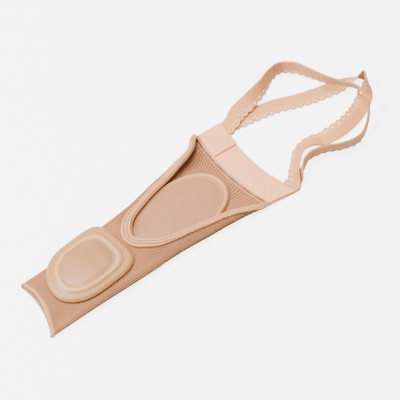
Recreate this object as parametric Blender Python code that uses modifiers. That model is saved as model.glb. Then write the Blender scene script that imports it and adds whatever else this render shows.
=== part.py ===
"""Bunion corrector: a knitted toe sleeve with a spacer pad on it and a gel pad in it, closed at the
heel end by an elastic band that carries two lace-edged heel straps.

It lies on a flat surface. X runs from the toe mouth towards the heel, Z is up, and the origin is on
that surface, on the underside of the sleeve, below the ball of the foot. Sizes are in metres.
"""

import functools
import math

import bmesh
import bpy
import numpy as np
from mathutils import Vector

# Driving sizes of the knitted sleeve
SLEEVE_LENGTH = 0.152
BALL_FROM_MOUTH = 0.108
TOE_HALF_WIDTH = 0.0205
HEEL_HALF_WIDTH = 0.0345
SIDE_SWAY = 0.0018
FOLD_RADIUS = 0.0035
CROWN_HEIGHT = 0.0032
KNIT_WALL = 0.0015
RIB_COUNT = 22
RIB_DEPTH = 0.0004
CROWDED = 0.3
MOUTH_SLANT = 0.0055
MOUTH_HOLLOW = 0.0042
MOUTH_FADE = 0.22
HEEL_BOW = 0.0045
HEEL_FADE = 0.14

# Driving sizes of the edges of the sleeve
OPENING_START = 0.0755
OPENING_NOSE = 0.014
TRIM_WIDTH = 0.0046
TRIM_LIP = 0.0006
TRIM_THICKNESS = 0.0010
RIDGE_HEIGHT = 0.0005
TRIM_RIDGES = 3
HEM_LENGTH = 0.0028
HEM_THICKNESS = 0.0018

# Driving sizes of the two pads
SPACER_LENGTH = 0.055
SPACER_HALF_WIDTH = 0.0203
SPACER_FROM_MOUTH = 0.0392
SPACER_SIDE = 0.0040
SPACER_SLANT = 0.23
SPACER_EDGE = 0.0030
SPACER_DOME = 0.0024
GEL_PAD_LENGTH = 0.073
GEL_PAD_HALF_WIDTH = 0.0208
GEL_PAD_FROM_MOUTH = 0.1105
GEL_PAD_THICKNESS = 0.0028

# Driving sizes of the band and the straps
BAND_WIDTH = 0.0185
BAND_SKEW = 0.0034
SEAM_GAP = 0.0007
BAND_THICKNESS = 0.0016
TAB_THICKNESS = 0.0011
STRAP_WIDTH = 0.0110
STRAP_THICKNESS = 0.0012
LOOP_REACH = 0.092
LACE_PITCH = 0.0048
LACE_WIDTH = 0.0045
LACE_SCALLOP = 0.0009
LACE_COLUMNS = 3
HOLE_TOP = 0.80
HOLE_LOW = 0.38
HOLE_BULGE = 0.0002
END_COLUMNS = 8

CLEARANCE = 0.0003

# Powers of the outline of each pad: at its heel end on the left and on the right, and at its toe end.
# 1 gives an ellipse, less gives squarer corners.
SPACER_SQUARENESS = (0.34, 0.46, 0.90)
GEL_PAD_SQUARENESS = (0.90, 0.90, 0.90)

# Step along and round the sleeve from which its outward direction is taken, and points of fine lines
FRAME_STEP = 0.0004
OPENING_POINTS = 400
ROUTE_POINTS = 600

# Sections along the sleeve. along: share of its length. spread: 0 is the toe half width, 1 the heel's.
# sway: share of the side sway. crown: share of the crown height. fold: share of the fold radius.
SECTION_COLUMNS = ("along", "spread", "sway", "crown", "fold")
SECTIONS = (
    (0.00, 0.00, 1.00, 1.00, 0.64),
    (0.16, 0.01, 0.10, 0.52, 0.88),
    (0.45, 0.14, -0.65, 0.48, 1.00),
    (0.60, 0.21, -0.65, 0.40, 0.98),
    (0.74, 0.41, -0.55, 0.25, 0.94),
    (0.86, 0.57, -0.50, 0.14, 0.88),
    (0.95, 0.78, -0.35, 0.05, 0.68),
    (0.985, 1.00, 0.45, 0.00, 0.60),
    (1.00, 1.00, 0.45, 0.00, 0.60),
)

# Sides of the foot opening. along: share of the sleeve's length. left and right: shares of the half
# width there, from the middle of the section.
OPENING_COLUMNS = ("along", "left", "right")
OPENING_SIDES = (
    (0.50, 0.45, -0.22),
    (0.54, 0.54, -0.35),
    (0.61, 0.66, -0.50),
    (0.69, 0.73, -0.60),
    (0.80, 0.76, -0.70),
    (0.90, 0.80, -0.80),
    (0.96, 0.86, -0.90),
    (1.00, 0.93, -0.955),
)
SEAM_SIDE = 0.06

# Routes of the two heel straps, from the left end of the band to its right end. reach: share of the
# loop's reach behind the band. side: share of the straps' spacing on the band. lean: degrees by which
# the plain edge is raised, and below 0 the lace edge. lift: heights of one lying strap.
# The columns are reach, side, lean and lift.
OUTER_ROUTE = (
    (0.000, 1.00, 0, 1.0),
    (0.060, 1.04, 3, 1.0),
    (0.130, 1.12, 12, 1.0),
    (0.255, 1.15, 36, 1.3),
    (0.389, 1.22, 60, 1.3),
    (0.495, 1.35, 74, 0.6),
    (0.582, 1.37, 82, 0.2),
    (0.650, 1.14, 84, 1.2),
    (0.693, 0.74, 92, 2.6),
    (0.731, 0.34, 100, 4.0),
    (0.794, 0.04, 112, 4.1),
    (0.841, -0.24, 112, 4.1),
    (0.817, -0.60, 103, 4.0),
    (0.719, -0.95, 90, 1.6),
    (0.598, -1.13, 84, 0.2),
    (0.468, -1.03, 80, 0.0),
    (0.359, -0.84, 80, 0.0),
    (0.246, -0.76, 84, 0.0),
    (0.142, -0.88, 76, 0.0),
    (0.085, -0.90, 10, 0.0),
    (0.036, -0.99, 0, 0.0),
    (0.000, -1.00, 0, 0.0),
)
INNER_ROUTE = (
    (0.000, 1.00, 0, 0.0),
    (0.060, 1.02, 0, 0.0),
    (0.122, 0.98, 0, 0.0),
    (0.241, 0.89, 0, 0.0),
    (0.384, 0.76, 0, 0.0),
    (0.502, 0.58, 0, 0.0),
    (0.626, 0.43, 0, 0.0),
    (0.747, 0.31, -3, 0.0),
    (0.815, 0.24, -9, 0.0),
    (0.906, 0.14, -46, 0.0),
    (0.972, 0.05, -86, 0.0),
    (0.938, -0.20, -64, 0.0),
    (0.865, -0.33, -10, 0.0),
    (0.720, -0.54, -22, 0.0),
    (0.583, -0.60, -22, 0.0),
    (0.459, -0.54, -6, 0.0),
    (0.349, -0.43, 20, 0.0),
    (0.248, -0.45, 38, 0.0),
    (0.160, -0.63, 50, 0.0),
    (0.085, -0.83, 42, 1.2),
    (0.036, -0.99, 0, 1.0),
    (0.000, -1.00, 0, 1.0),
)

# Profile of each pad, from the middle of its top to its rim and under it. out: share of its half
# width. dome: share of the dome's height. edge: share of the edge's thickness.
# The columns are out, dome and edge.
SPACER_PROFILE = (
    (0.34, 0.97, 1.00),
    (0.58, 0.86, 1.00),
    (0.70, 0.52, 1.00),
    (0.74, 0.20, 1.00),
    (0.80, 0.02, 1.00),
    (0.93, 0.00, 0.94),
    (1.00, 0.00, 0.55),
    (0.97, 0.00, 0.14),
    (0.90, 0.00, 0.00),
    (0.45, 0.00, 0.00),
)
GEL_PAD_PROFILE = (
    (0.45, 0.00, 1.00),
    (0.80, 0.00, 0.98),
    (0.88, 0.00, 0.74),
    (0.96, 0.00, 0.58),
    (1.00, 0.00, 0.28),
    (0.98, 0.00, 0.00),
    (0.50, 0.00, 0.00),
)

KNIT_COLOUR = (0.78, 0.56, 0.42)
GEL_COLOUR = (0.74, 0.58, 0.44)
BAND_COLOUR = (0.86, 0.68, 0.56)
LACE_COLOUR = (0.82, 0.62, 0.48)


def eased(rows, at, column):
    """The value of a table's column at a place along its first column, on a smooth curve."""
    places = np.array([row[0] for row in rows])
    values = np.array([row[column] for row in rows])
    slopes = np.gradient(values, places)
    at = min(max(at, places[0]), places[-1])
    i = min(int(np.searchsorted(places, at, side="right")) - 1, len(rows) - 2)
    span = places[i + 1] - places[i]
    t = (at - places[i]) / span
    rise = t * t * (3 - 2 * t)
    return (
        (1 - rise) * values[i]
        + rise * values[i + 1]
        + span * t * (1 - t) * ((1 - t) * slopes[i] - t * slopes[i + 1])
    )


def half_width(along):
    """Half the sleeve's width at a share of its length."""
    spread = eased(SECTIONS, along, SECTION_COLUMNS.index("spread"))
    return TOE_HALF_WIDTH + spread * (HEEL_HALF_WIDTH - TOE_HALF_WIDTH)


def middle(along):
    """How far the middle of the section lies to the left of the X axis."""
    return SIDE_SWAY * eased(SECTIONS, along, SECTION_COLUMNS.index("sway"))


def fold_radius(along):
    """Outer radius of the fold at each side of the flattened tube."""
    return FOLD_RADIUS * eased(SECTIONS, along, SECTION_COLUMNS.index("fold"))


def top_height(along, side):
    """Height of the sleeve's outer face over the surface, side being from the section's middle."""
    flat = half_width(along) - fold_radius(along)
    crown = CROWN_HEIGHT * eased(SECTIONS, along, SECTION_COLUMNS.index("crown"))
    share = min(abs(side) / flat, 1.0)
    return 2 * fold_radius(along) + crown * (1 - share**4) ** 2


@functools.lru_cache(maxsize=None)
def section_loop(along):
    """The sleeve's outer outline at a share of its length, from the seam on top over the left side.

    Returns the run from the seam, the places across and the heights, as three arrays.
    """
    wide = half_width(along)
    radius = fold_radius(along)
    flat = wide - radius
    seam = SEAM_SIDE * wide
    points = [(side, top_height(along, side)) for side in np.linspace(seam, flat, 40)]
    for angle in np.linspace(math.pi / 2, -math.pi / 2, 25)[1:]:
        points.append((flat + radius * math.cos(angle), radius * (1 + math.sin(angle))))
    points += [(side, 0.0) for side in np.linspace(flat, -flat, 41)[1:]]
    for angle in np.linspace(-math.pi / 2, -3 * math.pi / 2, 25)[1:]:
        points.append((-flat + radius * math.cos(angle), radius * (1 + math.sin(angle))))
    points += [(side, top_height(along, side)) for side in np.linspace(-flat, seam, 50)[1:]]
    line = np.array(points)
    steps = np.hypot(*np.diff(line, axis=0).T)
    return np.concatenate([[0.0], np.cumsum(steps)]), line[:, 0] + middle(along), line[:, 1]


def end_shift(along, side):
    """How far the slanted mouth and the bowed heel end move a place along X."""
    share = (side - middle(along)) / half_width(along)
    mouth = MOUTH_SLANT * share + MOUTH_HOLLOW * (1 - share * share) - MOUTH_HOLLOW / 2
    heel = HEEL_BOW * share * share
    near_mouth = max(0.0, 1 - along / MOUTH_FADE)
    near_heel = max(0.0, 1 - (1 - along) / HEEL_FADE)
    return mouth * near_mouth + heel * near_heel


def sleeve_point(distance, run):
    """A point of the sleeve's outer face, at a distance from the mouth and a run from the seam."""
    along = min(max(distance / SLEEVE_LENGTH, 0.0), 1.0)
    runs, sides, heights = section_loop(along)
    run = run % runs[-1]
    side = float(np.interp(run, runs, sides))
    height = float(np.interp(run, runs, heights))
    return Vector((distance + end_shift(along, side), side, height))


def sleeve_frame(distance, run):
    """A point of the sleeve's outer face and the outward direction there."""
    step = FRAME_STEP
    point = sleeve_point(distance, run)
    ahead = sleeve_point(distance + step, run) - sleeve_point(distance - step, run)
    across = sleeve_point(distance, run + step) - sleeve_point(distance, run - step)
    return point, ahead.cross(across).normalized()


def opening_run(distance, name):
    """Run from the seam to the left or right edge of the foot opening, at a distance from the mouth."""
    along = min(distance / SLEEVE_LENGTH, 1.0)
    share = eased(OPENING_SIDES, along, OPENING_COLUMNS.index(name))
    into = min(max((distance - OPENING_START) / OPENING_NOSE, 0.0), 1.0)
    share = SEAM_SIDE + (share - SEAM_SIDE) * math.sqrt(1 - (1 - into) ** 2)
    place = middle(along) + share * half_width(along)
    runs, sides, _ = section_loop(along)
    if name == "left":
        top = slice(0, int(np.argmax(sides)) + 1)
        return float(np.interp(place, sides[top], runs[top]))
    top = slice(int(np.argmin(sides)), len(sides))
    return float(np.interp(place, sides[top], runs[top])) - runs[-1]


def even_line(points, count):
    """The same line with evenly spaced points."""
    steps = np.hypot(*np.diff(points, axis=0).T)
    along = np.concatenate([[0.0], np.cumsum(steps)])
    at = np.linspace(0.0, along[-1], count)
    return np.column_stack([np.interp(at, along, points[:, k]) for k in (0, 1)])


@functools.lru_cache(maxsize=None)
def opening_line(outward, count):
    """The foot opening's edge as distances and runs, moved outward over the knit by a width.

    It starts at the left end of the band, goes round the rounded end and back to the right.
    """
    nose = OPENING_START + OPENING_NOSE * (1 - np.cos(np.linspace(0, math.pi / 2, 24)))
    sides = np.linspace(OPENING_START + OPENING_NOSE, SLEEVE_LENGTH, 40)[1:]
    distances = np.concatenate([nose, sides])
    left = [(d, opening_run(d, "left")) for d in distances[::-1]]
    right = [(d, opening_run(d, "right")) for d in distances[1:]]
    line = even_line(np.array(left + right), OPENING_POINTS)
    ahead = np.gradient(line, axis=0)
    ahead /= np.linalg.norm(ahead, axis=1)[:, None]
    line = line - outward * np.column_stack([ahead[:, 1], -ahead[:, 0]])
    return even_line(line, count)


def knit_edge_runs(distance):
    """Runs of the two edges of the knit, which the trim covers, or None before the opening."""
    line = opening_line(TRIM_LIP, OPENING_POINTS)
    tip = int(np.argmin(line[:, 0]))
    if distance <= line[tip, 0]:
        return None
    left = line[: tip + 1][::-1]
    right = line[tip:]
    return (
        float(np.interp(distance, left[:, 0], left[:, 1])),
        float(np.interp(distance, right[:, 0], right[:, 1])),
    )


def material(name, colour, roughness):
    """A plain surface finish."""
    made = bpy.data.materials.new(name)
    made.use_nodes = True
    shader = made.node_tree.nodes["Principled BSDF"]
    shader.inputs["Base Color"].default_value = (*colour, 1.0)
    shader.inputs["Roughness"].default_value = roughness
    shader.inputs["Metallic"].default_value = 0.0
    return made


def add_piece(name, mesh_data, finish):
    """A named object of this mesh, carried by the corrector's empty."""
    if not any(edge.is_boundary for edge in mesh_data.edges):
        bmesh.ops.recalc_face_normals(mesh_data, faces=mesh_data.faces)
    mesh = bpy.data.meshes.new(name)
    mesh_data.to_mesh(mesh)
    mesh_data.free()
    mesh.materials.append(finish)
    piece = bpy.data.objects.new(name, mesh)
    bpy.data.collections["bunion_corrector"].objects.link(piece)
    piece.parent = bpy.data.objects["bunion_corrector_frame"]
    mesh.shade_smooth()
    mesh.set_sharp_from_angle(angle=math.radians(50))
    return piece


def shaped_grid(columns, rows, place):
    """A flat grid whose points are each moved to place(column, row)."""
    sheet = bmesh.new()
    bmesh.ops.create_grid(sheet, x_segments=columns, y_segments=rows, size=1.0)
    sheet.verts.ensure_lookup_table()
    for vert in sheet.verts:
        column = round((vert.co.x + 1) / 2 * columns)
        row = round((vert.co.y + 1) / 2 * rows)
        vert.co = place(column, row)
    return sheet


def shaped_tube(around, stations, place, closed):
    """A sweep of a closed section of around points, capped or joined into a ring, by place(k, i)."""
    tube = bmesh.new()
    rings = [[tube.verts.new(place(k, i)) for k in range(around)] for i in range(stations)]
    pairs = list(zip(rings, rings[1:]))
    if closed:
        pairs.append((rings[-1], rings[0]))
    else:
        tube.faces.new(rings[0])
        tube.faces.new(rings[-1][::-1])
    for first, second in pairs:
        for k in range(around):
            n = (k + 1) % around
            tube.faces.new((first[k], second[k], second[n], first[n]))
    return tube


def thicken(piece, thickness, inward):
    """Gives an open sheet its wall, all to one side or to both."""
    wall = piece.modifiers.new("wall", "SOLIDIFY")
    wall.thickness = thickness
    wall.offset = -1.0 if inward else 0.0
    wall.use_even_offset = True
    return wall


def knit_stations():
    """Distances from the mouth of the sleeve's sections, closer together round the opening's end."""
    tip = float(opening_line(TRIM_LIP, OPENING_POINTS)[:, 0].min())
    closed_part = [0.0, 0.06, 0.2, 0.38, 0.56, 0.74, 0.9, 1.0]
    open_part = [0.006, 0.025, 0.06, 0.12, 0.2, 0.32, 0.45, 0.58, 0.72, 0.86, 0.965, 1.0]
    start = HEM_LENGTH + CLEARANCE
    before = [start + (tip - start) * share for share in closed_part]
    return before + [tip + (SLEEVE_LENGTH - tip) * share for share in open_part]


def build_toe_sleeve(finish):
    """The knitted sleeve: a flattened ribbed tube, open at the toe, cut away on top for the foot."""
    stations = knit_stations()
    columns = 2 * RIB_COUNT

    def place(column, row):
        distance = stations[row]
        runs = section_loop(min(distance / SLEEVE_LENGTH, 1.0))[0]
        edges = knit_edge_runs(distance)
        left, right = edges if edges else (0.0, 0.0)
        share = column / columns
        run = runs[-1] * share + left * max(0.0, 1 - share / CROWDED)
        run += right * max(0.0, 1 - (1 - share) / CROWDED)
        point, outward = sleeve_frame(distance, run)
        resting = 1.0 if point.z < 0.5 * FOLD_RADIUS else 0.0
        rib = -RIB_DEPTH if column % 2 and not resting else 0.0
        return point + outward * rib

    knit = shaped_grid(columns, len(stations) - 1, place)
    bmesh.ops.remove_doubles(knit, verts=knit.verts, dist=1e-6)
    bmesh.ops.reverse_faces(knit, faces=knit.faces)
    sleeve = add_piece("toe_sleeve", knit, finish)
    wall = thicken(sleeve, KNIT_WALL, inward=True)
    wall.use_quality_normals = True
    return sleeve


def build_toe_hem(finish):
    """The rolled hem round the toe mouth, flattened where it rests."""
    around, stations = 8, 38
    runs = section_loop(0.0)[0]

    def place(k, i):
        angle = 2 * math.pi * k / around
        back = HEM_LENGTH / 2 * (1 - math.cos(angle))
        point, outward = sleeve_frame(back, runs[-1] * i / stations)
        depth = KNIT_WALL / 2 - HEM_THICKNESS / 2 * math.sin(angle)
        spot = point - outward * depth
        return Vector((spot.x, spot.y, max(spot.z, 0.0)))

    return add_piece("toe_hem", shaped_tube(around, stations, place, closed=True), finish)


def trim_section():
    """Outline of the trim as (share of its width, height over the knit), with its ridges on top."""
    base = CLEARANCE + TRIM_THICKNESS
    outline = [(1.0, CLEARANCE), (0.0, CLEARANCE), (0.0, base)]
    for ridge in range(TRIM_RIDGES):
        outline.append(((ridge + 0.5) / TRIM_RIDGES, base + RIDGE_HEIGHT))
        outline.append(((ridge + 1.0) / TRIM_RIDGES, base))
    return outline


def build_opening_trim(finish):
    """The ridged trim round the foot opening, from one end of the band to the other."""
    outline = trim_section()
    stations = 46
    inner = opening_line(0.0, stations)
    outer = opening_line(TRIM_WIDTH, stations)

    def place(k, i):
        share, height = outline[k]
        distance, run = inner[i] + share * (outer[i] - inner[i])
        point, outward = sleeve_frame(float(distance), float(run))
        return point + outward * height

    return add_piece("opening_trim", shaped_tube(len(outline), stations, place, closed=False), finish)


def pad_solid(profile, half_length, half_w, centre, squareness, slant, floor_at, dome, edge):
    """A pad of rings: each row of the profile is a rounded outline at its own height.

    The slant moves the left of the toe end towards the heel, as a share of the place across.
    """
    around = 36

    def ring_point(out, angle, height):
        c, s = math.cos(angle), math.sin(angle)
        if c < 0:
            power = squareness[2]
        else:
            power = squareness[0] if s > 0 else squareness[1]
        y = half_w * out * math.copysign(abs(s) ** power, s)
        x = half_length * out * math.copysign(abs(c) ** power, c) + slant * y * max(0.0, -c)
        spot = centre + Vector((x, y, 0))
        return Vector((spot.x, spot.y, floor_at(spot) + height))

    pad = bmesh.new()
    top = pad.verts.new(ring_point(0.0, 0.0, edge + dome))
    under = pad.verts.new(ring_point(0.0, 0.0, 0.0))
    rings = [
        [
            pad.verts.new(ring_point(out, 2 * math.pi * k / around, domed * dome + edged * edge))
            for k in range(around)
        ]
        for out, domed, edged in profile
    ]
    for k in range(around):
        n = (k + 1) % around
        pad.faces.new((top, rings[0][k], rings[0][n]))
        pad.faces.new((under, rings[-1][n], rings[-1][k]))
        for first, second in zip(rings, rings[1:]):
            pad.faces.new((first[k], second[k], second[n], first[n]))
    return pad


def build_spacer_pad(finish):
    """The toe spacer pad that lies on top of the sleeve, with its raised middle."""
    side = middle(SPACER_FROM_MOUTH / SLEEVE_LENGTH) + SPACER_SIDE
    centre = Vector((SPACER_FROM_MOUTH, side, 0))

    def on_sleeve(spot):
        along = spot.x / SLEEVE_LENGTH
        return top_height(along, spot.y - middle(along)) + CLEARANCE

    pad = pad_solid(
        SPACER_PROFILE, SPACER_LENGTH / 2, SPACER_HALF_WIDTH, centre, SPACER_SQUARENESS,
        SPACER_SLANT, on_sleeve, SPACER_DOME, SPACER_EDGE,
    )
    return add_piece("spacer_pad", pad, finish)


def build_gel_pad(finish):
    """The gel pad on the inside of the sleeve, under the ball of the foot."""
    centre = Vector((GEL_PAD_FROM_MOUTH, middle(GEL_PAD_FROM_MOUTH / SLEEVE_LENGTH), 0))
    pad = pad_solid(
        GEL_PAD_PROFILE, GEL_PAD_LENGTH / 2, GEL_PAD_HALF_WIDTH, centre, GEL_PAD_SQUARENESS,
        0.0, lambda spot: KNIT_WALL + CLEARANCE, 0.0, GEL_PAD_THICKNESS,
    )
    return add_piece("gel_pad", pad, finish)


def band_point(across, over, height):
    """A point of the band: across from -1 at the right end to 1 at the left, over from 0 to 1."""
    x = SLEEVE_LENGTH + SEAM_GAP + HEEL_BOW * across * across + BAND_WIDTH * over
    y = middle(1.0) + across * HEEL_HALF_WIDTH - BAND_SKEW * over
    return Vector((x, y, height))


def band_edge_x(side):
    """Where the heel edge of the band lies along X, at a place across."""
    across = (side - band_point(0.0, 1.0, 0.0).y) / HEEL_HALF_WIDTH
    return band_point(across, 1.0, 0.0).x


def build_heel_band(finish):
    """The wide elastic band sewn across the heel end of the sleeve."""
    columns, rows = 20, 3
    band = shaped_grid(
        columns, rows, lambda c, r: band_point(2 * c / columns - 1, r / rows, BAND_THICKNESS / 2)
    )
    piece = add_piece("heel_band", band, finish)
    thicken(piece, BAND_THICKNESS, inward=False)
    return piece


# Corners of each tab on the band, as across and over, from the seam's corner round to the strap.
TAB_CORNERS = {
    "left": ((0.97, 0.06), (0.62, 0.66), (0.60, 1.0), (1.0, 1.0)),
    "right": ((-0.97, 0.06), (-0.66, 0.66), (-0.64, 1.0), (-1.0, 1.0)),
}


def build_strap_tab(side, finish):
    """The folded end of the straps, sewn on top of one end of the band."""
    corners = TAB_CORNERS[side]
    columns, rows = 4, 4
    height = BAND_THICKNESS + CLEARANCE + TAB_THICKNESS / 2

    def place(column, row):
        u, v = column / columns, row / rows
        low = [corners[0][k] * (1 - u) + corners[1][k] * u for k in (0, 1)]
        high = [corners[3][k] * (1 - u) + corners[2][k] * u for k in (0, 1)]
        across, over = (low[k] * (1 - v) + high[k] * v for k in (0, 1))
        return band_point(across, over, height)

    piece = add_piece("strap_tab_" + side, shaped_grid(columns, rows, place), finish)
    thicken(piece, TAB_THICKNESS, inward=False)
    return piece


def route_frames(route, count):
    """Evenly spaced points of a strap's middle line, each with the direction to its plain edge."""
    anchor = HEEL_HALF_WIDTH - STRAP_WIDTH / 2
    start = band_point(anchor / HEEL_HALF_WIDTH, 1.0, 0.0)
    reach, side, lean, lift = np.array(route, float).T
    x = start.x + CLEARANCE + reach * LOOP_REACH
    y = band_point(0.0, 1.0, 0.0).y + side * anchor
    steps = np.concatenate([[0.0], np.cumsum(np.hypot(np.diff(x), np.diff(y)))])
    rows = list(zip(steps, x, y, lean, lift))
    places = np.linspace(0, steps[-1], ROUTE_POINTS)
    fine = np.array([[eased(rows, at, column) for column in (1, 2, 3, 4)] for at in places])
    run = np.concatenate([[0.0], np.cumsum(np.hypot(*np.diff(fine[:, :2], axis=0).T))])
    places = np.linspace(0, run[-1], count)
    even = np.column_stack([np.interp(places, run, fine[:, k]) for k in range(4)])
    ahead = np.gradient(even[:, :2], axis=0)
    step = STRAP_THICKNESS + CLEARANCE
    frames = []
    for (x, y, lean, lift), (dx, dy) in zip(even, ahead):
        length = math.hypot(dx, dy)
        tilt = math.radians(lean)
        plain = Vector((-dy / length * math.cos(tilt), dx / length * math.cos(tilt), math.sin(tilt)))
        lowest = STRAP_WIDTH / 2 * abs(math.sin(tilt)) + STRAP_THICKNESS / 2 * abs(math.cos(tilt))
        frames.append((Vector((x, y, lowest + max(lift, 0.0) * step)), plain))
    return frames, float(run[-1])


def build_heel_strap(name, route, finish):
    """One lace-edged elastic strap: a plain part, a pierced lace part and a scalloped edge."""
    length = route_frames(route, 2)[1]
    motifs = round(length / LACE_PITCH)
    columns = LACE_COLUMNS * motifs
    frames = route_frames(route, columns + 1)[0]
    lace_edge = -STRAP_WIDTH / 2
    hole_top, hole_low = lace_edge + HOLE_TOP * LACE_WIDTH, lace_edge + HOLE_LOW * LACE_WIDTH
    levels = (STRAP_WIDTH / 2, hole_top, hole_low, lace_edge)

    def place(column, row):
        centre, plain = frames[column]
        level = levels[row]
        mid_hole = column % LACE_COLUMNS == 2
        if row == 3 and not mid_hole:
            level += LACE_SCALLOP
        if row in (1, 2) and mid_hole:
            level += HOLE_BULGE * (1 if row == 1 else -1)
        spot = centre + plain * level
        near_end = max(0.0, 1 - min(column, columns - column) / END_COLUMNS)
        along_band = centre.x + band_edge_x(spot.y) - band_edge_x(centre.y)
        spot.x += near_end * (along_band - spot.x)
        return spot

    strap = shaped_grid(columns, len(levels) - 1, place)
    strap.verts.index_update()
    holes = []
    for face in strap.faces:
        spots = sorted(v.index for v in face.verts)
        column, row = spots[0] % (columns + 1), spots[0] // (columns + 1)
        if row == 1 and column % LACE_COLUMNS != 0:
            holes.append(face)
    bmesh.ops.delete(strap, geom=holes, context="FACES_ONLY")
    piece = add_piece(name, strap, finish)
    thicken(piece, STRAP_THICKNESS, inward=False)
    return piece


def main():
    """Clears the scene and builds every piece of the corrector."""
    for old in list(bpy.data.objects):
        bpy.data.objects.remove(old)
    group = bpy.data.collections.new("bunion_corrector")
    bpy.context.scene.collection.children.link(group)
    frame = bpy.data.objects.new("bunion_corrector_frame", None)
    frame.location = (-BALL_FROM_MOUTH, 0, 0)
    group.objects.link(frame)

    knit = material("rib_knit", KNIT_COLOUR, 0.9)
    gel = material("gel", GEL_COLOUR, 0.45)
    elastic = material("flat_elastic", BAND_COLOUR, 0.85)
    lace = material("lace_elastic", LACE_COLOUR, 0.85)

    build_toe_sleeve(knit)
    build_toe_hem(knit)
    build_opening_trim(knit)
    build_spacer_pad(gel)
    build_gel_pad(gel)
    build_heel_band(elastic)
    build_strap_tab("left", elastic)
    build_strap_tab("right", elastic)
    build_heel_strap("heel_strap_outer", OUTER_ROUTE, lace)
    build_heel_strap("heel_strap_inner", INNER_ROUTE, lace)


main()
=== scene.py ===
"""Looks of the bunion corrector: its knitted sleeve, hem, trim, gel pads, elastic band and lace straps.

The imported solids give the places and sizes. Every soft piece here is modelled again in detail on the
same forms and stands for its solid. Lengths are in metres, X runs from the toe mouth to the heel.
"""

from __future__ import annotations

import logging
import math
from dataclasses import dataclass, field
from enum import Enum
from functools import lru_cache
from typing import Callable, Iterable, Sequence

import bmesh
import bpy
import numpy as np
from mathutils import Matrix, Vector

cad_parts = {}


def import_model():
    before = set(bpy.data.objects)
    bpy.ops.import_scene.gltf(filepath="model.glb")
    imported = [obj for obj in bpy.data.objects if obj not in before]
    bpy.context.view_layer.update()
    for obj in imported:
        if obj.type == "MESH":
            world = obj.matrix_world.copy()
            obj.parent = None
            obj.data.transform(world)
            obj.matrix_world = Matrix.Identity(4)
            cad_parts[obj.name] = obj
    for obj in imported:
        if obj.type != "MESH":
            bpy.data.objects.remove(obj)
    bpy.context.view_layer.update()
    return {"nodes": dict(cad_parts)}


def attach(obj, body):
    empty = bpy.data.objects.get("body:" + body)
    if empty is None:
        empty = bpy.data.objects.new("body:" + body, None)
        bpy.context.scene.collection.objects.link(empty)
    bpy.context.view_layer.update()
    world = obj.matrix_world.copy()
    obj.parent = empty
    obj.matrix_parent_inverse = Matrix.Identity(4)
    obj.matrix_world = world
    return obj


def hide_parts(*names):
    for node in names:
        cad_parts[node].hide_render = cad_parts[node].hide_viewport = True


LOG = logging.getLogger("bunion_corrector")
Array = np.ndarray
Piece = bpy.types.Object
Material = bpy.types.Material
Tree = bpy.types.NodeTree
Node = bpy.types.Node
Socket = bpy.types.NodeSocket
Colour = tuple[float, float, float]
TURN = 2.0 * math.pi
# Cloth coordinates count millimetres
CLOTH_UNIT = 0.001
# How far the knit's loops slant from their rib's crest, in courses
LOOP_SLANT = 1.1
# How fine the patches and the flecks of the dye are, and how far the ribs beneath the gel wander
PATCH_SCALE = 45.0
FLECK_SCALE = 900.0
RIB_WANDER = 0.0010
# The least share of a cell's side that a cut lace cell keeps
SLIVER = 0.08


class Slot(Enum):
    """Material slot names."""

    KNIT = "rib_knit"
    HEM = "hem_knit"
    GEL = "gel"
    ELASTIC = "flat_elastic"
    LACE = "lace_elastic"


class Side(Enum):
    """The two sides of the foot opening and of the band."""

    LEFT = "left"
    RIGHT = "right"


def smooth_step(value: Array | float) -> Array:
    """A rise from 0 to 1 with flat ends.

    Args:
        value: how far along the rise, from 0 to 1; beyond that it is held.

    Returns:
        The height of the rise there.
    """
    held = np.clip(value, 0.0, 1.0)
    return held * held * (3.0 - 2.0 * held)


def blend(low: float, share: Array) -> Array:
    """A factor that rises from this low one to 1 with a share."""
    return low + (1.0 - low) * share


def eased(places: Sequence[float], values: Sequence[float], at: Array | float) -> Array:
    """Reads a table on a smooth curve through its rows.

    Args:
        places: the table's first column, rising.
        values: the column that is read.
        at: where it is read.

    Returns:
        The value at each place asked for.
    """
    spots = np.asarray(places, float)
    heights = np.asarray(values, float)
    slopes = np.gradient(heights, spots)
    held = np.clip(at, spots[0], spots[-1])
    i = np.clip(np.searchsorted(spots, held, side="right") - 1, 0, len(spots) - 2)
    span = spots[i + 1] - spots[i]
    t = (held - spots[i]) / span
    rise = t * t * (3 - 2 * t)
    bend = span * t * (1 - t) * ((1 - t) * slopes[i] - t * slopes[i + 1])
    return (1 - rise) * heights[i] + rise * heights[i + 1] + bend


def unit(vectors: Array) -> Array:
    """Vectors of length 1 in the same directions."""
    return vectors / np.maximum(np.linalg.norm(vectors, axis=-1, keepdims=True), 1e-12)


def travelled(points: Array, axis: int = 0) -> Array:
    """How far each point lies along its line, in the order of an axis."""
    steps = np.linalg.norm(np.diff(points, axis=axis), axis=-1)
    return np.insert(np.cumsum(steps, axis=axis), 0, 0.0, axis=axis)


def read_line(at: Array, along: Array, points: Array) -> Array:
    """Points of a line, given one a row, at these places along it."""
    return np.stack([np.interp(at, along, column) for column in points.T], axis=-1)


def even_line(points: Array, count: int) -> Array:
    """The same line, given one point a row, with this many evenly spaced points."""
    along = travelled(points)
    return read_line(np.linspace(0.0, along[-1], count), along, points)


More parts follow.
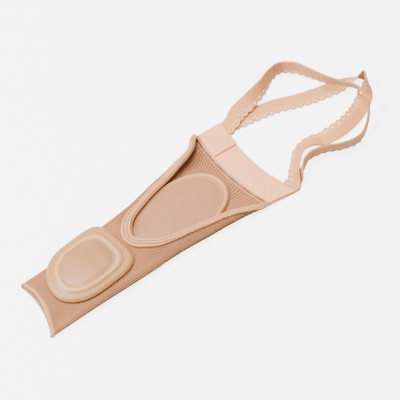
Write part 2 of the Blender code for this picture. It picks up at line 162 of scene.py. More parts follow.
@dataclass
class SleeveForm:
    """The flattened knitted tube that the other pieces lie on or are sewn to."""

    length: float = 0.152
    ball_from_mouth: float = 0.108
    toe_half_width: float = 0.0205
    heel_half_width: float = 0.0345
    side_sway: float = 0.0018
    fold_radius: float = 0.0035
    crown_height: float = 0.0032
    wall: float = 0.0015
    mouth_slant: float = 0.0055
    mouth_hollow: float = 0.0042
    mouth_fade: float = 0.22
    heel_bow: float = 0.0045
    heel_fade: float = 0.14
    opening_start: float = 0.0755
    opening_nose: float = 0.014
    seam_side: float = 0.06
    flap_start: float = 0.116
    flap_run: float = 0.028
    flap_rise: float = 0.0042
    flap_width: float = 0.0052
    top_onset: float = 1.6
    # along, spread, sway, crown and fold, as shares
    sections: tuple[tuple[float, ...], ...] = (
        (0.00, 0.00, 1.00, 1.00, 0.64),
        (0.16, 0.01, 0.10, 0.52, 0.88),
        (0.45, 0.14, -0.65, 0.48, 1.00),
        (0.60, 0.21, -0.65, 0.40, 0.98),
        (0.74, 0.41, -0.55, 0.25, 0.94),
        (0.86, 0.57, -0.50, 0.14, 0.88),
        (0.95, 0.78, -0.35, 0.05, 0.68),
        (0.985, 1.00, 0.45, 0.00, 0.60),
        (1.00, 1.00, 0.45, 0.00, 0.60),
    )
    # along, left and right, as shares of the length and of the half width
    opening_sides: tuple[tuple[float, ...], ...] = (
        (0.50, 0.45, -0.22),
        (0.54, 0.54, -0.35),
        (0.61, 0.66, -0.50),
        (0.69, 0.73, -0.60),
        (0.80, 0.76, -0.70),
        (0.90, 0.80, -0.80),
        (0.96, 0.86, -0.90),
        (1.00, 0.93, -0.955),
    )
    # distance, side, reach along, reach across and depth of the soft dents in the top layer
    dents: tuple[tuple[float, ...], ...] = (
        (0.012, 0.000, 0.004, 0.014, 0.0007),
        (0.071, -0.014, 0.003, 0.009, 0.0008),
        (0.080, -0.019, 0.005, 0.005, 0.0005),
        (0.097, -0.020, 0.004, 0.005, 0.0005),
        (0.118, -0.023, 0.005, 0.005, 0.0004),
        (0.088, 0.016, 0.004, 0.004, 0.0005),
        (0.006, -0.014, 0.004, 0.004, 0.0006),
    )
    stations: int = 220
    samples: int = 720
    fold_points: int = 25
    flat_points: int = 40
    right_points: int = 50
    nose_points: int = 24
    _sides: Array = field(init=False, repr=False)
    _heights: Array = field(init=False, repr=False)
    _girths: Array = field(init=False, repr=False)

    def __post_init__(self) -> None:
        """Tabulates the outline so that many points can be read at once."""
        sides, heights, girths = [], [], []
        for along in np.linspace(0.0, 1.0, self.stations):
            runs, side, height = self.section(float(along))
            at = np.linspace(0.0, runs[-1], self.samples + 1)
            sides.append(np.interp(at, runs, side))
            heights.append(np.interp(at, runs, height))
            girths.append(runs[-1])
        self._sides = np.array(sides)
        self._heights = np.array(heights)
        self._girths = np.array(girths)

    def column(self, index: int, along: Array | float) -> Array:
        """A column of the table of sections at a share of the length."""
        return eased([row[0] for row in self.sections], [row[index] for row in self.sections], along)

    def half_width(self, along: Array | float) -> Array:
        """Half the width at a share of the length."""
        reach = self.heel_half_width - self.toe_half_width
        return self.toe_half_width + self.column(1, along) * reach

    def middle(self, along: Array | float) -> Array:
        """How far the section's middle lies to the left."""
        return self.side_sway * self.column(2, along)

    def top_height(self, along: Array | float, side: Array | float) -> Array:
        """Height of the top face, side being measured from the section's middle.

        Args:
            along: share of the length.
            side: place across.

        Returns:
            The height.
        """
        radius = self.fold_radius * self.column(4, along)
        share = np.minimum(np.abs(side) / (self.half_width(along) - radius), 1.0)
        return 2 * radius + self.crown_height * self.column(3, along) * (1 - share**4) ** 2

    def section(self, along: float) -> tuple[Array, Array, Array]:
        """The outline at a share of the length, from the seam on top over the left side.

        Args:
            along: share of the length.

        Returns:
            The run from the seam, the places across and the heights.
        """
        wide = float(self.half_width(along))
        radius = self.fold_radius * float(self.column(4, along))
        flat = wide - radius
        seam = self.seam_side * wide
        left_fold = np.linspace(math.pi / 2, -math.pi / 2, self.fold_points)[1:]
        right_fold = left_fold - math.pi
        top_left = np.linspace(seam, flat, self.flat_points)
        under = np.linspace(flat, -flat, self.flat_points + 1)[1:]
        top_right = np.linspace(-flat, seam, self.right_points)[1:]
        left = flat + radius * np.cos(left_fold)
        right = -flat + radius * np.cos(right_fold)
        side = np.concatenate([top_left, left, under, right, top_right])
        height = np.concatenate(
            [
                self.top_height(along, top_left),
                radius * (1 + np.sin(left_fold)),
                np.zeros_like(under),
                radius * (1 + np.sin(right_fold)),
                self.top_height(along, top_right),
            ]
        )
        runs = travelled(np.column_stack([side, height]))
        return runs, side + float(self.middle(along)), height

    def girth(self, distance: Array | float) -> Array:
        """Length round the tube at a distance from the mouth."""
        along = np.clip(np.asarray(distance) / self.length, 0.0, 1.0)
        return np.interp(along, np.linspace(0, 1, self.stations), self._girths)

    def shift(self, along: Array, side: Array) -> Array:
        """How far the slanted mouth and the bowed heel end move a place along X.

        Args:
            along: share of the length.
            side: place across.

        Returns:
            The move along X.
        """
        share = (side - self.middle(along)) / self.half_width(along)
        mouth = self.mouth_slant * share + self.mouth_hollow * (0.5 - share * share)
        heel = self.heel_bow * share * share
        near_mouth = np.maximum(0.0, 1 - along / self.mouth_fade)
        near_heel = np.maximum(0.0, 1 - (1 - along) / self.heel_fade)
        return mouth * near_mouth + heel * near_heel

    def surface(self, distance: Array, run: Array) -> Array:
        """Points of the outer face.

        Args:
            distance: distances from the mouth.
            run: runs round the tube from the seam on top, the left side first.

        Returns:
            The points, in the last axis of the result.
        """
        distance, run = np.broadcast_arrays(np.asarray(distance, float), np.asarray(run, float))
        along = np.clip(distance / self.length, 0.0, 1.0)
        row = along * (self.stations - 1)
        low = np.clip(row.astype(int), 0, self.stations - 2)
        blend = row - low
        column = (run / self.girth(distance)) % 1.0 * self.samples
        left = np.clip(column.astype(int), 0, self.samples - 1)
        part = column - left

        def read(table: Array) -> Array:
            """Reads a table between its rows and columns.

            Args:
                table: values by station and sample.

            Returns:
                The value at each place asked for.
            """
            near = table[low, left] * (1 - part) + table[low, left + 1] * part
            far = table[low + 1, left] * (1 - part) + table[low + 1, left + 1] * part
            return near * (1 - blend) + far * blend

        side = read(self._sides)
        height = read(self._heights)
        x = distance + self.shift(along, side)
        height = height + self.relief(distance, along, side, height)
        return np.stack([x - self.ball_from_mouth, side, height], axis=-1)

    def relief(self, distance: Array, along: Array, side: Array, height: Array) -> Array:
        """Dents in the top layer, and the flap at the left heel corner that is turned up on edge.

        Args:
            distance: distance from the mouth.
            along: share of the length.
            side: place across.
            height: height of the plain outline there.

        Returns:
            The change of height.
        """
        on_top = smooth_step((height / (self.fold_radius * self.column(4, along)) - 1.0) * self.top_onset)
        change = np.zeros_like(side)
        for where, across, reach, spread, depth in self.dents:
            far = ((distance - where) / reach) ** 2 + ((side - across) / spread) ** 2
            change -= depth * np.exp(-far)
        from_fold = self.half_width(along) + self.middle(along) - side
        flap = smooth_step((distance - self.flap_start) / self.flap_run)
        turned = smooth_step(from_fold / self.flap_width) * (side > 0.0)
        change += self.flap_rise * flap * turned
        return change * on_top

    def frames(self, distance: Array, run: Array) -> tuple[Array, Array]:
        """Points of the outer face and the outward directions there.

        Args:
            distance: distances from the mouth.
            run: runs round the tube from the seam on top.

        Returns:
            The points, and the directions.
        """
        step = 0.0005
        ahead = self.surface(distance + step, run) - self.surface(distance - step, run)
        across = self.surface(distance, run + step) - self.surface(distance, run - step)
        return self.surface(distance, run), unit(np.cross(ahead, across))

    def opening_run(self, distance: float, side: Side) -> float:
        """Run from the seam to one edge of the foot opening, at a distance from the mouth.

        Args:
            distance: distance from the mouth.
            side: which edge.

        Returns:
            The run, below 0 on the right side.
        """
        along = min(distance / self.length, 1.0)
        index = 1 if side is Side.LEFT else 2
        rows = self.opening_sides
        share = float(eased([row[0] for row in rows], [row[index] for row in rows], along))
        into = min(max((distance - self.opening_start) / self.opening_nose, 0.0), 1.0)
        share = self.seam_side + (share - self.seam_side) * math.sqrt(1 - (1 - into) ** 2)
        place = float(self.middle(along)) + share * float(self.half_width(along))
        runs, sides, _ = self.section(along)
        if side is Side.LEFT:
            top = slice(0, int(np.argmax(sides)) + 1)
            return float(np.interp(place, sides[top], runs[top]))
        top = slice(int(np.argmin(sides)), len(sides))
        return float(np.interp(place, sides[top], runs[top])) - float(runs[-1])

    def opening_line(self, count: int) -> tuple[Array, Array]:
        """The foot opening's edge, from the left end of the band round to the right end.

        Args:
            count: how many points the line has.

        Returns:
            The points as (distance, run), and the directions away from the opening.
        """
        rounds = 1 - np.cos(np.linspace(0, math.pi / 2, self.nose_points))
        nose = self.opening_start + self.opening_nose * rounds
        sides = np.linspace(self.opening_start + self.opening_nose, self.length, self.flat_points)[1:]
        distances = np.concatenate([nose, sides])
        left = [(d, self.opening_run(float(d), Side.LEFT)) for d in distances[::-1]]
        right = [(d, self.opening_run(float(d), Side.RIGHT)) for d in distances[1:]]
        line = even_line(np.array(left + right), count)
        ahead = unit(np.gradient(line, axis=0))
        return line, np.column_stack([ahead[:, 1], -ahead[:, 0]])


def mesh_object(
    name: str, points: Array, faces: Iterable[Sequence[int]], uv: Array | None = None
) -> Piece:
    """Makes a smooth-shaded object of this mesh.

    Args:
        name: the piece's name.
        points: its vertices.
        faces: its faces, as indices of vertices.
        uv: a pair of cloth coordinates for each face corner.

    Returns:
        The new object, linked to the scene.
    """
    mesh = bpy.data.meshes.new(name)
    mesh.from_pydata(np.asarray(points, float).tolist(), [], [list(map(int, face)) for face in faces])
    if uv is not None:
        layer = mesh.uv_layers.new(name="cloth")
        layer.data.foreach_set("uv", np.asarray(uv, np.float32).ravel())
    mesh.validate()
    mesh.shade_smooth()
    piece = bpy.data.objects.new(name, mesh)
    bpy.context.scene.collection.objects.link(piece)
    return piece


def dress(piece: Piece, finish: Material, slot: Slot, *nodes: str) -> Piece:
    """Gives a piece its material, the body it rides on and the solids it stands for.

    Args:
        piece: the piece.
        finish: its material.
        slot: not used.
        nodes: the solids that it stands for.

    Returns:
        The same piece.
    """
    piece.data.materials.append(finish)
    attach(piece, "root")
    if nodes:
        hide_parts(*nodes)
    LOG.info("%s: %d faces", piece.name, len(piece.data.polygons))
    return piece


def quad_corners(table: Array) -> Array:
    """What a table holds at the four corners of each quad between its points."""
    return np.stack([table[:-1, :-1], table[1:, :-1], table[1:, 1:], table[:-1, 1:]], axis=2)


def grid_faces(index: Array) -> Array:
    """Quads between neighbouring vertices of an index table, each row of it joined to the next."""
    return quad_corners(index).reshape(-1, 4)


def tube_faces(stations: int, around: int, closed: bool) -> list[list[int]]:
    """Faces of a tube of closed sections, whose vertices are numbered section by section.

    Args:
        stations: how many sections there are.
        around: how many vertices each of them has.
        closed: whether the last section joins the first; otherwise both ends are capped.

    Returns:
        The quads, and then the two caps if there are any.
    """
    rows = np.arange(stations + closed) % stations
    columns = np.arange(around + 1) % around
    faces = grid_faces(rows[:, None] * around + columns[None, :]).tolist()
    if not closed:
        cap = list(range(around))
        faces += [cap, [vertex + (stations - 1) * around for vertex in reversed(cap)]]
    return faces


def walled(faces: Array, count: int) -> Array:
    """Faces of a wall, from those of its outer side.

    Args:
        faces: the outer quads.
        count: how many outer vertices there are; the inner ones follow them in the same order.

    Returns:
        The outer quads, the inner ones in the same order and those along the wall's free edges.
    """
    edges = np.concatenate([faces[:, [k, (k + 1) % 4]] for k in range(4)])
    keys = edges[:, 0] * count + edges[:, 1]
    back = edges[:, 1] * count + edges[:, 0]
    free = edges[~np.isin(keys, back)]
    rim = np.stack([free[:, 1], free[:, 0], free[:, 0] + count, free[:, 1] + count], axis=1)
    return np.vstack([faces, faces[:, ::-1] + count, rim])


def swept(name: str, rings: Array, closed: bool, side: Array) -> Piece:
    """A sweep of closed sections, capped at its ends or joined into a ring.

    Args:
        name: the piece's name.
        rings: points by station and place in the section.
        closed: whether the last section joins the first.
        side: the cloth's second coordinate at each place in the section and back at the first.

    Returns:
        The new object.
    """
    stations, around, _ = rings.shape
    line = rings.mean(axis=1)[np.arange(stations + closed) % stations]
    table = np.stack(np.meshgrid(travelled(line) / CLOTH_UNIT, side, indexing="ij"), axis=-1)
    uv = quad_corners(table).reshape(-1, 2)
    if not closed:
        uv = np.vstack([uv, np.zeros((2 * around, 2))])
    return fix_facing(mesh_object(name, rings.reshape(-1, 3), tube_faces(stations, around, closed), uv))


def rounded_slab(
    name: str, middle: Array, normals: Array, thickness: Array | float, rounding: float, uv: Array
) -> Piece:
    """A thin slab whose two faces meet in rounded edges.

    Args:
        name: the piece's name.
        middle: points of its middle surface, by row and column.
        normals: the directions of its thickness there.
        thickness: its full thickness.
        rounding: how far in from an edge the rounding reaches.
        uv: cloth coordinates of the same points.

    Returns:
        The new object.
    """
    rows, columns, _ = middle.shape
    down, over = travelled(middle), travelled(middle, axis=1)
    inset = np.minimum(np.minimum(down, down[-1:] - down), np.minimum(over, over[:, -1:] - over))
    share = np.clip(inset / rounding, 0.0, 1.0)
    half = np.asarray(thickness) / 2 * np.sqrt(1 - (1 - share) ** 2)
    top = middle + normals * half[..., None]
    low = middle - normals * half[..., None]
    upper = np.arange(rows * columns).reshape(rows, columns)
    lower = upper + rows * columns
    edge = np.zeros((rows, columns), bool)
    edge[0], edge[-1], edge[:, 0], edge[:, -1] = True, True, True, True
    lower = np.where(edge, upper, lower)
    faces = np.vstack([grid_faces(upper), grid_faces(lower)[:, ::-1]])
    corners = quad_corners(uv).reshape(-1, 4, 2)
    loops = np.vstack([corners, corners[:, ::-1]]).reshape(-1, 2)
    used = np.unique(faces)
    renumber = np.zeros(2 * rows * columns, int)
    renumber[used] = np.arange(len(used))
    points = np.concatenate([top.reshape(-1, 3), low.reshape(-1, 3)])[used]
    return fix_facing(mesh_object(name, points, renumber[faces], loops))


def fix_facing(piece: Piece) -> Piece:
    """Turns a closed piece's faces outwards.

    Args:
        piece: the piece.

    Returns:
        The same piece.
    """
    mesh = piece.data
    mesh.calc_loop_triangles()
    points = np.empty(len(mesh.vertices) * 3)
    mesh.vertices.foreach_get("co", points)
    corners = np.empty(len(mesh.loop_triangles) * 3, int)
    mesh.loop_triangles.foreach_get("vertices", corners)
    a, b, c = points.reshape(-1, 3)[corners.reshape(-1, 3)].transpose(1, 0, 2)
    if np.einsum("ij,ij->i", a, np.cross(b, c)).sum() < 0:
        mesh.flip_normals()
    return piece


@dataclass(frozen=True)
class Stitch:
    """A sewing stitch: a short bead of thread that dips into the cloth at its ends."""

    length: float
    gap: float
    radius: float
    around: int = 6
    rings: int = 7
    # Where along its half turn of bulge a stitch starts, its slimmest share and how far it stands out
    end_angle: float = 0.12
    slimmest: float = 0.55
    rise: float = 0.9

    def sew(self, name: str, path: Array, normals: Array) -> Piece:
        """Sews a line of stitches.

        Args:
            name: the piece's name.
            path: points of the line on the cloth.
            normals: the cloth's outward directions there.

        Returns:
            The new object, all its stitches in one mesh.
        """
        steps = travelled(path)
        count = max(1, int(steps[-1] // (self.length + self.gap)))
        starts = (np.arange(count) + 0.5) * steps[-1] / count - self.length / 2
        bulge = np.sin(np.linspace(self.end_angle, math.pi - self.end_angle, self.rings))
        thick = self.radius * blend(self.slimmest, bulge)[:, None, None]
        angle = np.linspace(0.0, TURN, self.around, endpoint=False)[None, :, None]
        beads = []
        for start in starts:
            at = start + np.linspace(0.0, self.length, self.rings)
            spine = read_line(at, steps, path)
            out = unit(read_line(at, steps, normals))
            across = unit(np.cross(np.gradient(spine, axis=0), out))[:, None]
            spine = spine + out * (self.radius * self.rise * (bulge - self.slimmest))[:, None]
            beads.append(spine[:, None] + thick * (np.cos(angle) * across + np.sin(angle) * out[:, None]))
        bead = tube_faces(self.rings, self.around, False)
        size = self.rings * self.around
        faces = [[vertex + base for vertex in face] for base in range(0, count * size, size) for face in bead]
        return fix_facing(mesh_object(name, np.array(beads).reshape(-1, 3), faces))


class Nodes:
    """A shader or group under construction, with short ways to place and link its nodes."""

    def __init__(self, tree: Tree) -> None:
        """Holds the tree that is built."""
        self.tree = tree

    def add(self, kind: str, **settings: object) -> Node:
        """Places a node and sets its plain properties.

        Args:
            kind: the node's type.
            settings: its plain properties.

        Returns:
            The node.
        """
        node = self.tree.nodes.new(kind)
        for key, value in settings.items():
            setattr(node, key, value)
        return node

    def link(self, source: Socket, target: Socket) -> None:
        """Joins two sockets."""
        self.tree.links.new(source, target)

    def feed(self, node: Node, index: int | str, value: object) -> None:
        """Gives an input a link or a constant.

        Args:
            node: the node.
            index: the input's place or name.
            value: a socket or a constant.
        """
        if isinstance(value, Socket):
            self.link(value, node.inputs[index])
        else:
            node.inputs[index].default_value = value

    def math(self, operation: str, *values: object) -> Socket:
        """A Math node's result.

        Args:
            operation: what the node does.
            values: its sockets or constants.

        Returns:
            The result.
        """
        node = self.add("ShaderNodeMath", operation=operation)
        for index, value in enumerate(values):
            self.feed(node, index, value)
        return node.outputs[0]

    def mix(self, factor: object, low: object, high: object) -> Socket:
        """A blend of two colours.

        Args:
            factor: how much of the second colour there is.
            low: the first colour.
            high: the second.

        Returns:
            The blended colour.
        """
        node = self.add("ShaderNodeMix", data_type="RGBA")
        self.feed(node, 0, factor)
        self.feed(node, 6, low)
        self.feed(node, 7, high)
        return node.outputs[2]

    def ramp(self, value: object, low: float, high: float) -> Socket:
        """A value's smooth rise between two limits, from 0 to 1.

        Args:
            value: what is read.
            low: where the rise starts.
            high: where it ends.

        Returns:
            The rise.
        """
        node = self.add("ShaderNodeMapRange", interpolation_type="SMOOTHSTEP")
        self.feed(node, 0, value)
        node.inputs[1].default_value = low
        node.inputs[2].default_value = high
        return node.outputs[0]

    def noise(self, where: object, scale: float, detail: float = 3.0) -> Socket:
        """A noise value over the surface.

        Args:
            where: the coordinates.
            scale: how fine the noise is.
            detail: how many finer layers it has.

        Returns:
            The noise, about 0.5.
        """
        node = self.add("ShaderNodeTexNoise")
        self.feed(node, "Vector", where)
        node.inputs["Scale"].default_value = scale
        node.inputs["Detail"].default_value = detail
        return node.outputs["Fac"]

    def fill(self, node: Node, **values: object) -> Node:
        """Gives a node's named inputs their links or constants.

        Args:
            node: the node.
            values: a socket or a constant for each input, with _ for a space in its name.

        Returns:
            The same node.
        """
        for key, value in values.items():
            self.feed(node, key.replace("_", " "), value)
        return node

    def group(self, tree: Tree, **values: object) -> Node:
        """Places a node group with its own values."""
        return self.fill(self.add("ShaderNodeGroup", node_tree=tree), **values)

    def bump(self, height: object, distance: float, strength: float) -> Socket:
        """The normal of a surface with this height."""
        node = self.add("ShaderNodeBump")
        return self.fill(node, Height=height, Distance=distance, Strength=strength).outputs["Normal"]

    def wave(self, value: object, shape: str = "COSINE") -> Socket:
        """A wave between 0 and 1 that repeats at each whole step of a value."""
        turned = self.math(shape, self.math("MULTIPLY", value, TURN))
        return self.math("MULTIPLY_ADD", turned, 0.5, 0.5)

    def place(self) -> Socket:
        """Where each spot lies in the object's own coordinates."""
        return self.add("ShaderNodeTexCoord").outputs["Object"]

    def parts(self, vector: Socket) -> Sequence[Socket]:
        """The X, Y and Z of a vector."""
        return self.fill(self.add("ShaderNodeSeparateXYZ"), Vector=vector).outputs


def shaded(colour: Colour, share: float) -> Colour:
    """The colour, darker by this share."""
    return (colour[0] * share, colour[1] * share, colour[2] * share)


def rgba(colour: Colour) -> tuple[float, float, float, float]:
    """The colour with full opacity."""
    return (*colour, 1.0)


def new_group(
    name: str, inputs: Sequence[tuple[str, str, object]], outputs: Sequence[tuple[str, str]]
) -> tuple[Nodes, Node, Node]:
    """Starts a shader node group with named inputs and outputs.

    Args:
        name: the group's name.
        inputs: name, socket type and default value of each input.
        outputs: name and socket type of each output.

    Returns:
        The group's builder, its input node and its output node.
    """
    tree = bpy.data.node_groups.new(name, "ShaderNodeTree")
    for label, kind, value in inputs:
        made = tree.interface.new_socket(name=label, in_out="INPUT", socket_type=kind)
        if value is not None:
            made.default_value = value
    for label, kind in outputs:
        tree.interface.new_socket(name=label, in_out="OUTPUT", socket_type=kind)
    nodes = Nodes(tree)
    return nodes, nodes.add("NodeGroupInput"), nodes.add("NodeGroupOutput")


@lru_cache(maxsize=None)
def knit_loops() -> Tree:
    """Rib knit: a crest on each rib and a chevron loop on each course, as a height and masks for the painted
    shade in the valleys and between the loops.

    Returns:
        The node group.
    """
    nodes, into, out = new_group(
        "knit_loops",
        [("Cloth", "NodeSocketVector", None), ("Loop Depth", "NodeSocketFloat", 0.5)],
        [("Height", "NodeSocketFloat"), ("Crest", "NodeSocketFloat"), ("Loop", "NodeSocketFloat")],
    )
    rib, course, _ = nodes.parts(into.outputs["Cloth"])
    crest = nodes.wave(rib)
    from_crest = nodes.math("ABSOLUTE", nodes.math("SUBTRACT", nodes.math("FRACT", rib), 0.5))
    loop = nodes.wave(nodes.math("MULTIPLY_ADD", from_crest, LOOP_SLANT, course), "SINE")
    depth = nodes.math("MULTIPLY", loop, into.outputs["Loop Depth"])
    nodes.link(nodes.math("ADD", crest, depth), out.inputs["Height"])
    nodes.link(crest, out.inputs["Crest"])
    nodes.link(loop, out.inputs["Loop"])
    return nodes.tree


@lru_cache(maxsize=None)
def woven_ribs() -> Tree:
    """Flat elastic: fine ribs one way, crossed by picks the other, as a height and a mask of the valleys for
    painted shade.

    Returns:
        The node group.
    """
    nodes, into, out = new_group(
        "woven_ribs",
        [
            ("Cloth", "NodeSocketVector", None),
            ("Ribs", "NodeSocketFloat", 1.0),
            ("Picks", "NodeSocketFloat", 1.0),
            ("Pick Share", "NodeSocketFloat", 0.4),
        ],
        [("Height", "NodeSocketFloat"), ("Valley", "NodeSocketFloat")],
    )
    length, width, _ = nodes.parts(into.outputs["Cloth"])
    across = nodes.math("MULTIPLY", width, into.outputs["Ribs"])
    along = nodes.math("MULTIPLY", length, into.outputs["Picks"])
    rib = nodes.wave(across)
    step = nodes.math("MULTIPLY", nodes.math("FLOOR", across), 0.5)
    pick = nodes.wave(nodes.math("ADD", along, step), "SINE")
    raised = nodes.math("MULTIPLY", pick, into.outputs["Pick Share"])
    nodes.link(nodes.math("ADD", rib, raised), out.inputs["Height"])
    nodes.link(nodes.math("SUBTRACT", 1.0, rib), out.inputs["Valley"])
    return nodes.tree


@lru_cache(maxsize=None)
def uneven_dye() -> Tree:
    """Slow patches and fine flecks of colour that cloth and gel show, as one value about 0.5.

    Returns:
        The node group.
    """
    nodes, into, out = new_group(
        "uneven_dye",
        [("Patch Share", "NodeSocketFloat", 0.6)],
        [("Value", "NodeSocketFloat")],
    )
    where = nodes.place()
    patches = nodes.noise(where, PATCH_SCALE, 2.0)
    flecks = nodes.noise(where, FLECK_SCALE, 2.0)
    node = nodes.add("ShaderNodeMix", data_type="FLOAT")
    nodes.feed(node, 0, into.outputs["Patch Share"])
    nodes.feed(node, 2, flecks)
    nodes.feed(node, 3, patches)
    nodes.link(node.outputs[0], out.inputs["Value"])
    return nodes.tree


@lru_cache(maxsize=None)
def ribs_beneath() -> Tree:
    """Knit ribs that show through gel here and there, as a mask.

    Returns:
        The node group.
    """
    nodes, into, out = new_group(
        "ribs_beneath",
        [("Pitch", "NodeSocketFloat", 0.0017)],
        [("Mask", "NodeSocketFloat")],
    )
    where = nodes.place()
    _, side, _ = nodes.parts(where)
    wavy = nodes.math("MULTIPLY_ADD", nodes.noise(where, 40.0, 1.0), RIB_WANDER, side)
    stripes = nodes.ramp(nodes.wave(nodes.math("DIVIDE", wavy, into.outputs["Pitch"])), 0.5, 1.0)
    seen = nodes.ramp(nodes.noise(where, 55.0, 2.0), 0.30, 0.55)
    nodes.link(nodes.math("MULTIPLY", stripes, seen), out.inputs["Mask"])
    return nodes.tree


def new_material(name: str) -> tuple[Material, Nodes, Node]:
    """Starts a material and returns it with its builder and its Principled shader.

    Args:
        name: the material's name.

    Returns:
        The material, its builder and its shader.
    """
    made = bpy.data.materials.new(name)
    made.use_nodes = True
    nodes = Nodes(made.node_tree)
    return made, nodes, made.node_tree.nodes["Principled BSDF"]


def cloth_uv(nodes: Nodes) -> Socket:
    """The cloth coordinates of the piece."""
    return nodes.add("ShaderNodeUVMap", uv_map="cloth").outputs["UV"]


@dataclass(frozen=True)
class KnitFinish:
    """Rib-knit nylon: warm crests, valleys darkened with painted shade, and small chevron loops with painted
    shade between them.
    """

    name: str
    crest: Colour
    # Painted shade: the colour of the rib valleys and of the dips between the loops
    valley: Colour
    patch: Colour
    loop_depth: float = 0.5
    loop_share: float = 0.35
    bump: float = 0.00016
    roughness: float = 0.82
    sheen: float = 0.25

    def build(self) -> Material:
        """Builds the material.

        Returns:
            The material.
        """
        made, nodes, shader = new_material(self.name)
        knit = nodes.group(knit_loops(), Cloth=cloth_uv(nodes), Loop_Depth=self.loop_depth)
        dye = nodes.group(uneven_dye(), Patch_Share=0.7).outputs["Value"]
        crests = nodes.math("MULTIPLY", knit.outputs["Crest"], 1.0 - self.loop_share)
        shade = nodes.math("MULTIPLY_ADD", knit.outputs["Loop"], self.loop_share, crests)
        # Painted shade: the valleys and the dips between the loops take the darker valley colour
        ribs = nodes.mix(nodes.ramp(shade, 0.08, 0.75), rgba(self.valley), rgba(self.crest))
        nodes.fill(
            shader,
            Base_Color=nodes.mix(nodes.ramp(dye, 0.42, 0.66), ribs, rgba(self.patch)),
            Roughness=nodes.math("MULTIPLY_ADD", dye, 0.2, self.roughness - 0.1),
            Normal=nodes.bump(knit.outputs["Height"], self.bump, 0.9),
            Sheen_Weight=self.sheen,
            Sheen_Roughness=0.45,
            Specular_IOR_Level=0.25,
        )
        return made


@dataclass(frozen=True)
class WovenFinish:
    """Woven or overlocked elastic, its ribs and picks counted in the cloth coordinates, and its rib valleys
    darkened with painted shade.
    """

    name: str
    crest: Colour
    # Painted shade: the colour of the rib valleys
    valley: Colour
    patch: Colour
    ribs: float
    picks: float
    pick_share: float = 0.4
    bump: float = 0.0001
    roughness: float = 0.7
    sheen: float = 0.2

    def build(self) -> Material:
        """Builds the material.

        Returns:
            The material.
        """
        made, nodes, shader = new_material(self.name)
        weave = nodes.group(
            woven_ribs(), Cloth=cloth_uv(nodes), Ribs=self.ribs, Picks=self.picks, Pick_Share=self.pick_share
        )
        dye = nodes.group(uneven_dye(), Patch_Share=0.6).outputs["Value"]
        # Painted shade: the rib valleys take the darker valley colour
        ribs = nodes.mix(nodes.ramp(weave.outputs["Valley"], 0.3, 1.0), rgba(self.crest), rgba(self.valley))
        nodes.fill(
            shader,
            Base_Color=nodes.mix(nodes.ramp(dye, 0.42, 0.68), ribs, rgba(self.patch)),
            Roughness=nodes.math("MULTIPLY_ADD", dye, 0.2, self.roughness - 0.1),
            Normal=nodes.bump(weave.outputs["Height"], self.bump, 0.8),
            Sheen_Weight=self.sheen,
            Sheen_Roughness=0.4,
            Specular_IOR_Level=0.3,
        )
        return made


@dataclass(frozen=True)
class ThreadFinish:
    """Twisted yarn: lace, overlock and sewing thread, its flecks partly uneven tone and partly painted glints
    and painted shade.
    """

    name: str
    colour: Colour
    # Darker tone of the flecks, partly painted shade
    shade: Colour
    twist: float = 1400.0
    bump: float = 0.00006
    roughness: float = 0.65

    def build(self) -> Material:
        """Builds the material.

        Returns:
            The material.
        """
        made, nodes, shader = new_material(self.name)
        # The yarn's flecks mix two tones: partly its uneven colour, partly painted glints and painted shade
        # of its twist
        yarn = nodes.noise(nodes.place(), self.twist, 2.0)
        dye = nodes.group(uneven_dye(), Patch_Share=0.4).outputs["Value"]
        nodes.fill(
            shader,
            Base_Color=nodes.mix(nodes.ramp(yarn, 0.35, 0.65), rgba(self.shade), rgba(self.colour)),
            Roughness=nodes.math("MULTIPLY_ADD", dye, 0.2, self.roughness - 0.1),
            Normal=nodes.bump(yarn, self.bump, 0.7),
            Sheen_Weight=0.2,
            Specular_IOR_Level=0.35,
        )
        return made


@dataclass(frozen=True)
class GelFinish:
    """Cloudy silicone gel over knit, with pale lines in its margin that are painted highlights along its
    ridges, and faint ribs that show through.
    """

    name: str
    body: Colour
    margin: Colour
    # Colour of the painted highlights along the ridge crests
    line: Colour
    margin_from: float
    highlight_lines: tuple[float, ...]
    highlight_width: float
    ribs_through: float
    rib_shade: float = 0.55
    ribs_from: float = -0.085
    ribs_fade: float = 0.02
    bump: float = 0.00014
    rib_pitch: float = 0.0017
    roughness: float = 0.42

    def build(self) -> Material:
        """Builds the material. The first cloth coordinate is 0 in the middle and 1 at the rim.

        Returns:
            The material.
        """
        made, nodes, shader = new_material(self.name)
        out, _, _ = nodes.parts(cloth_uv(nodes))
        beneath = nodes.group(ribs_beneath(), Pitch=self.rib_pitch).outputs["Mask"]
        reach = nodes.ramp(nodes.parts(nodes.place())[0], self.ribs_from, self.ribs_from + self.ribs_fade)
        shown = nodes.math("MULTIPLY", nodes.math("MULTIPLY", beneath, self.ribs_through), reach)
        dye = nodes.group(uneven_dye(), Patch_Share=0.85).outputs["Value"]
        cloudy = nodes.mix(nodes.ramp(dye, 0.3, 0.7), rgba(self.body), rgba(shaded(self.body, 0.92)))
        colour = nodes.mix(shown, cloudy, rgba(shaded(self.body, self.rib_shade)))
        edge = nodes.ramp(out, self.margin_from - 0.03, self.margin_from + 0.03)
        colour = nodes.mix(edge, colour, rgba(self.margin))
        # Painted highlights: pale lines along the ridge crests
        for place in self.highlight_lines:
            far = nodes.math("ABSOLUTE", nodes.math("SUBTRACT", out, place))
            near = nodes.math("SUBTRACT", 1.0, nodes.ramp(far, 0.2 * self.highlight_width, self.highlight_width))
            colour = nodes.mix(near, colour, rgba(self.line))
        nodes.fill(
            shader,
            Base_Color=colour,
            Roughness=nodes.math("MULTIPLY_ADD", dye, 0.16, self.roughness - 0.08),
            Normal=nodes.bump(
                nodes.math("MULTIPLY_ADD", shown, -1.0, nodes.math("MULTIPLY", dye, 0.6)), self.bump, 0.6
            ),
            Subsurface_Weight=0.25,
            Subsurface_Radius=(0.003, 0.0018, 0.0011),
            Subsurface_Scale=1.0,
            Specular_IOR_Level=0.4,
        )
        return made


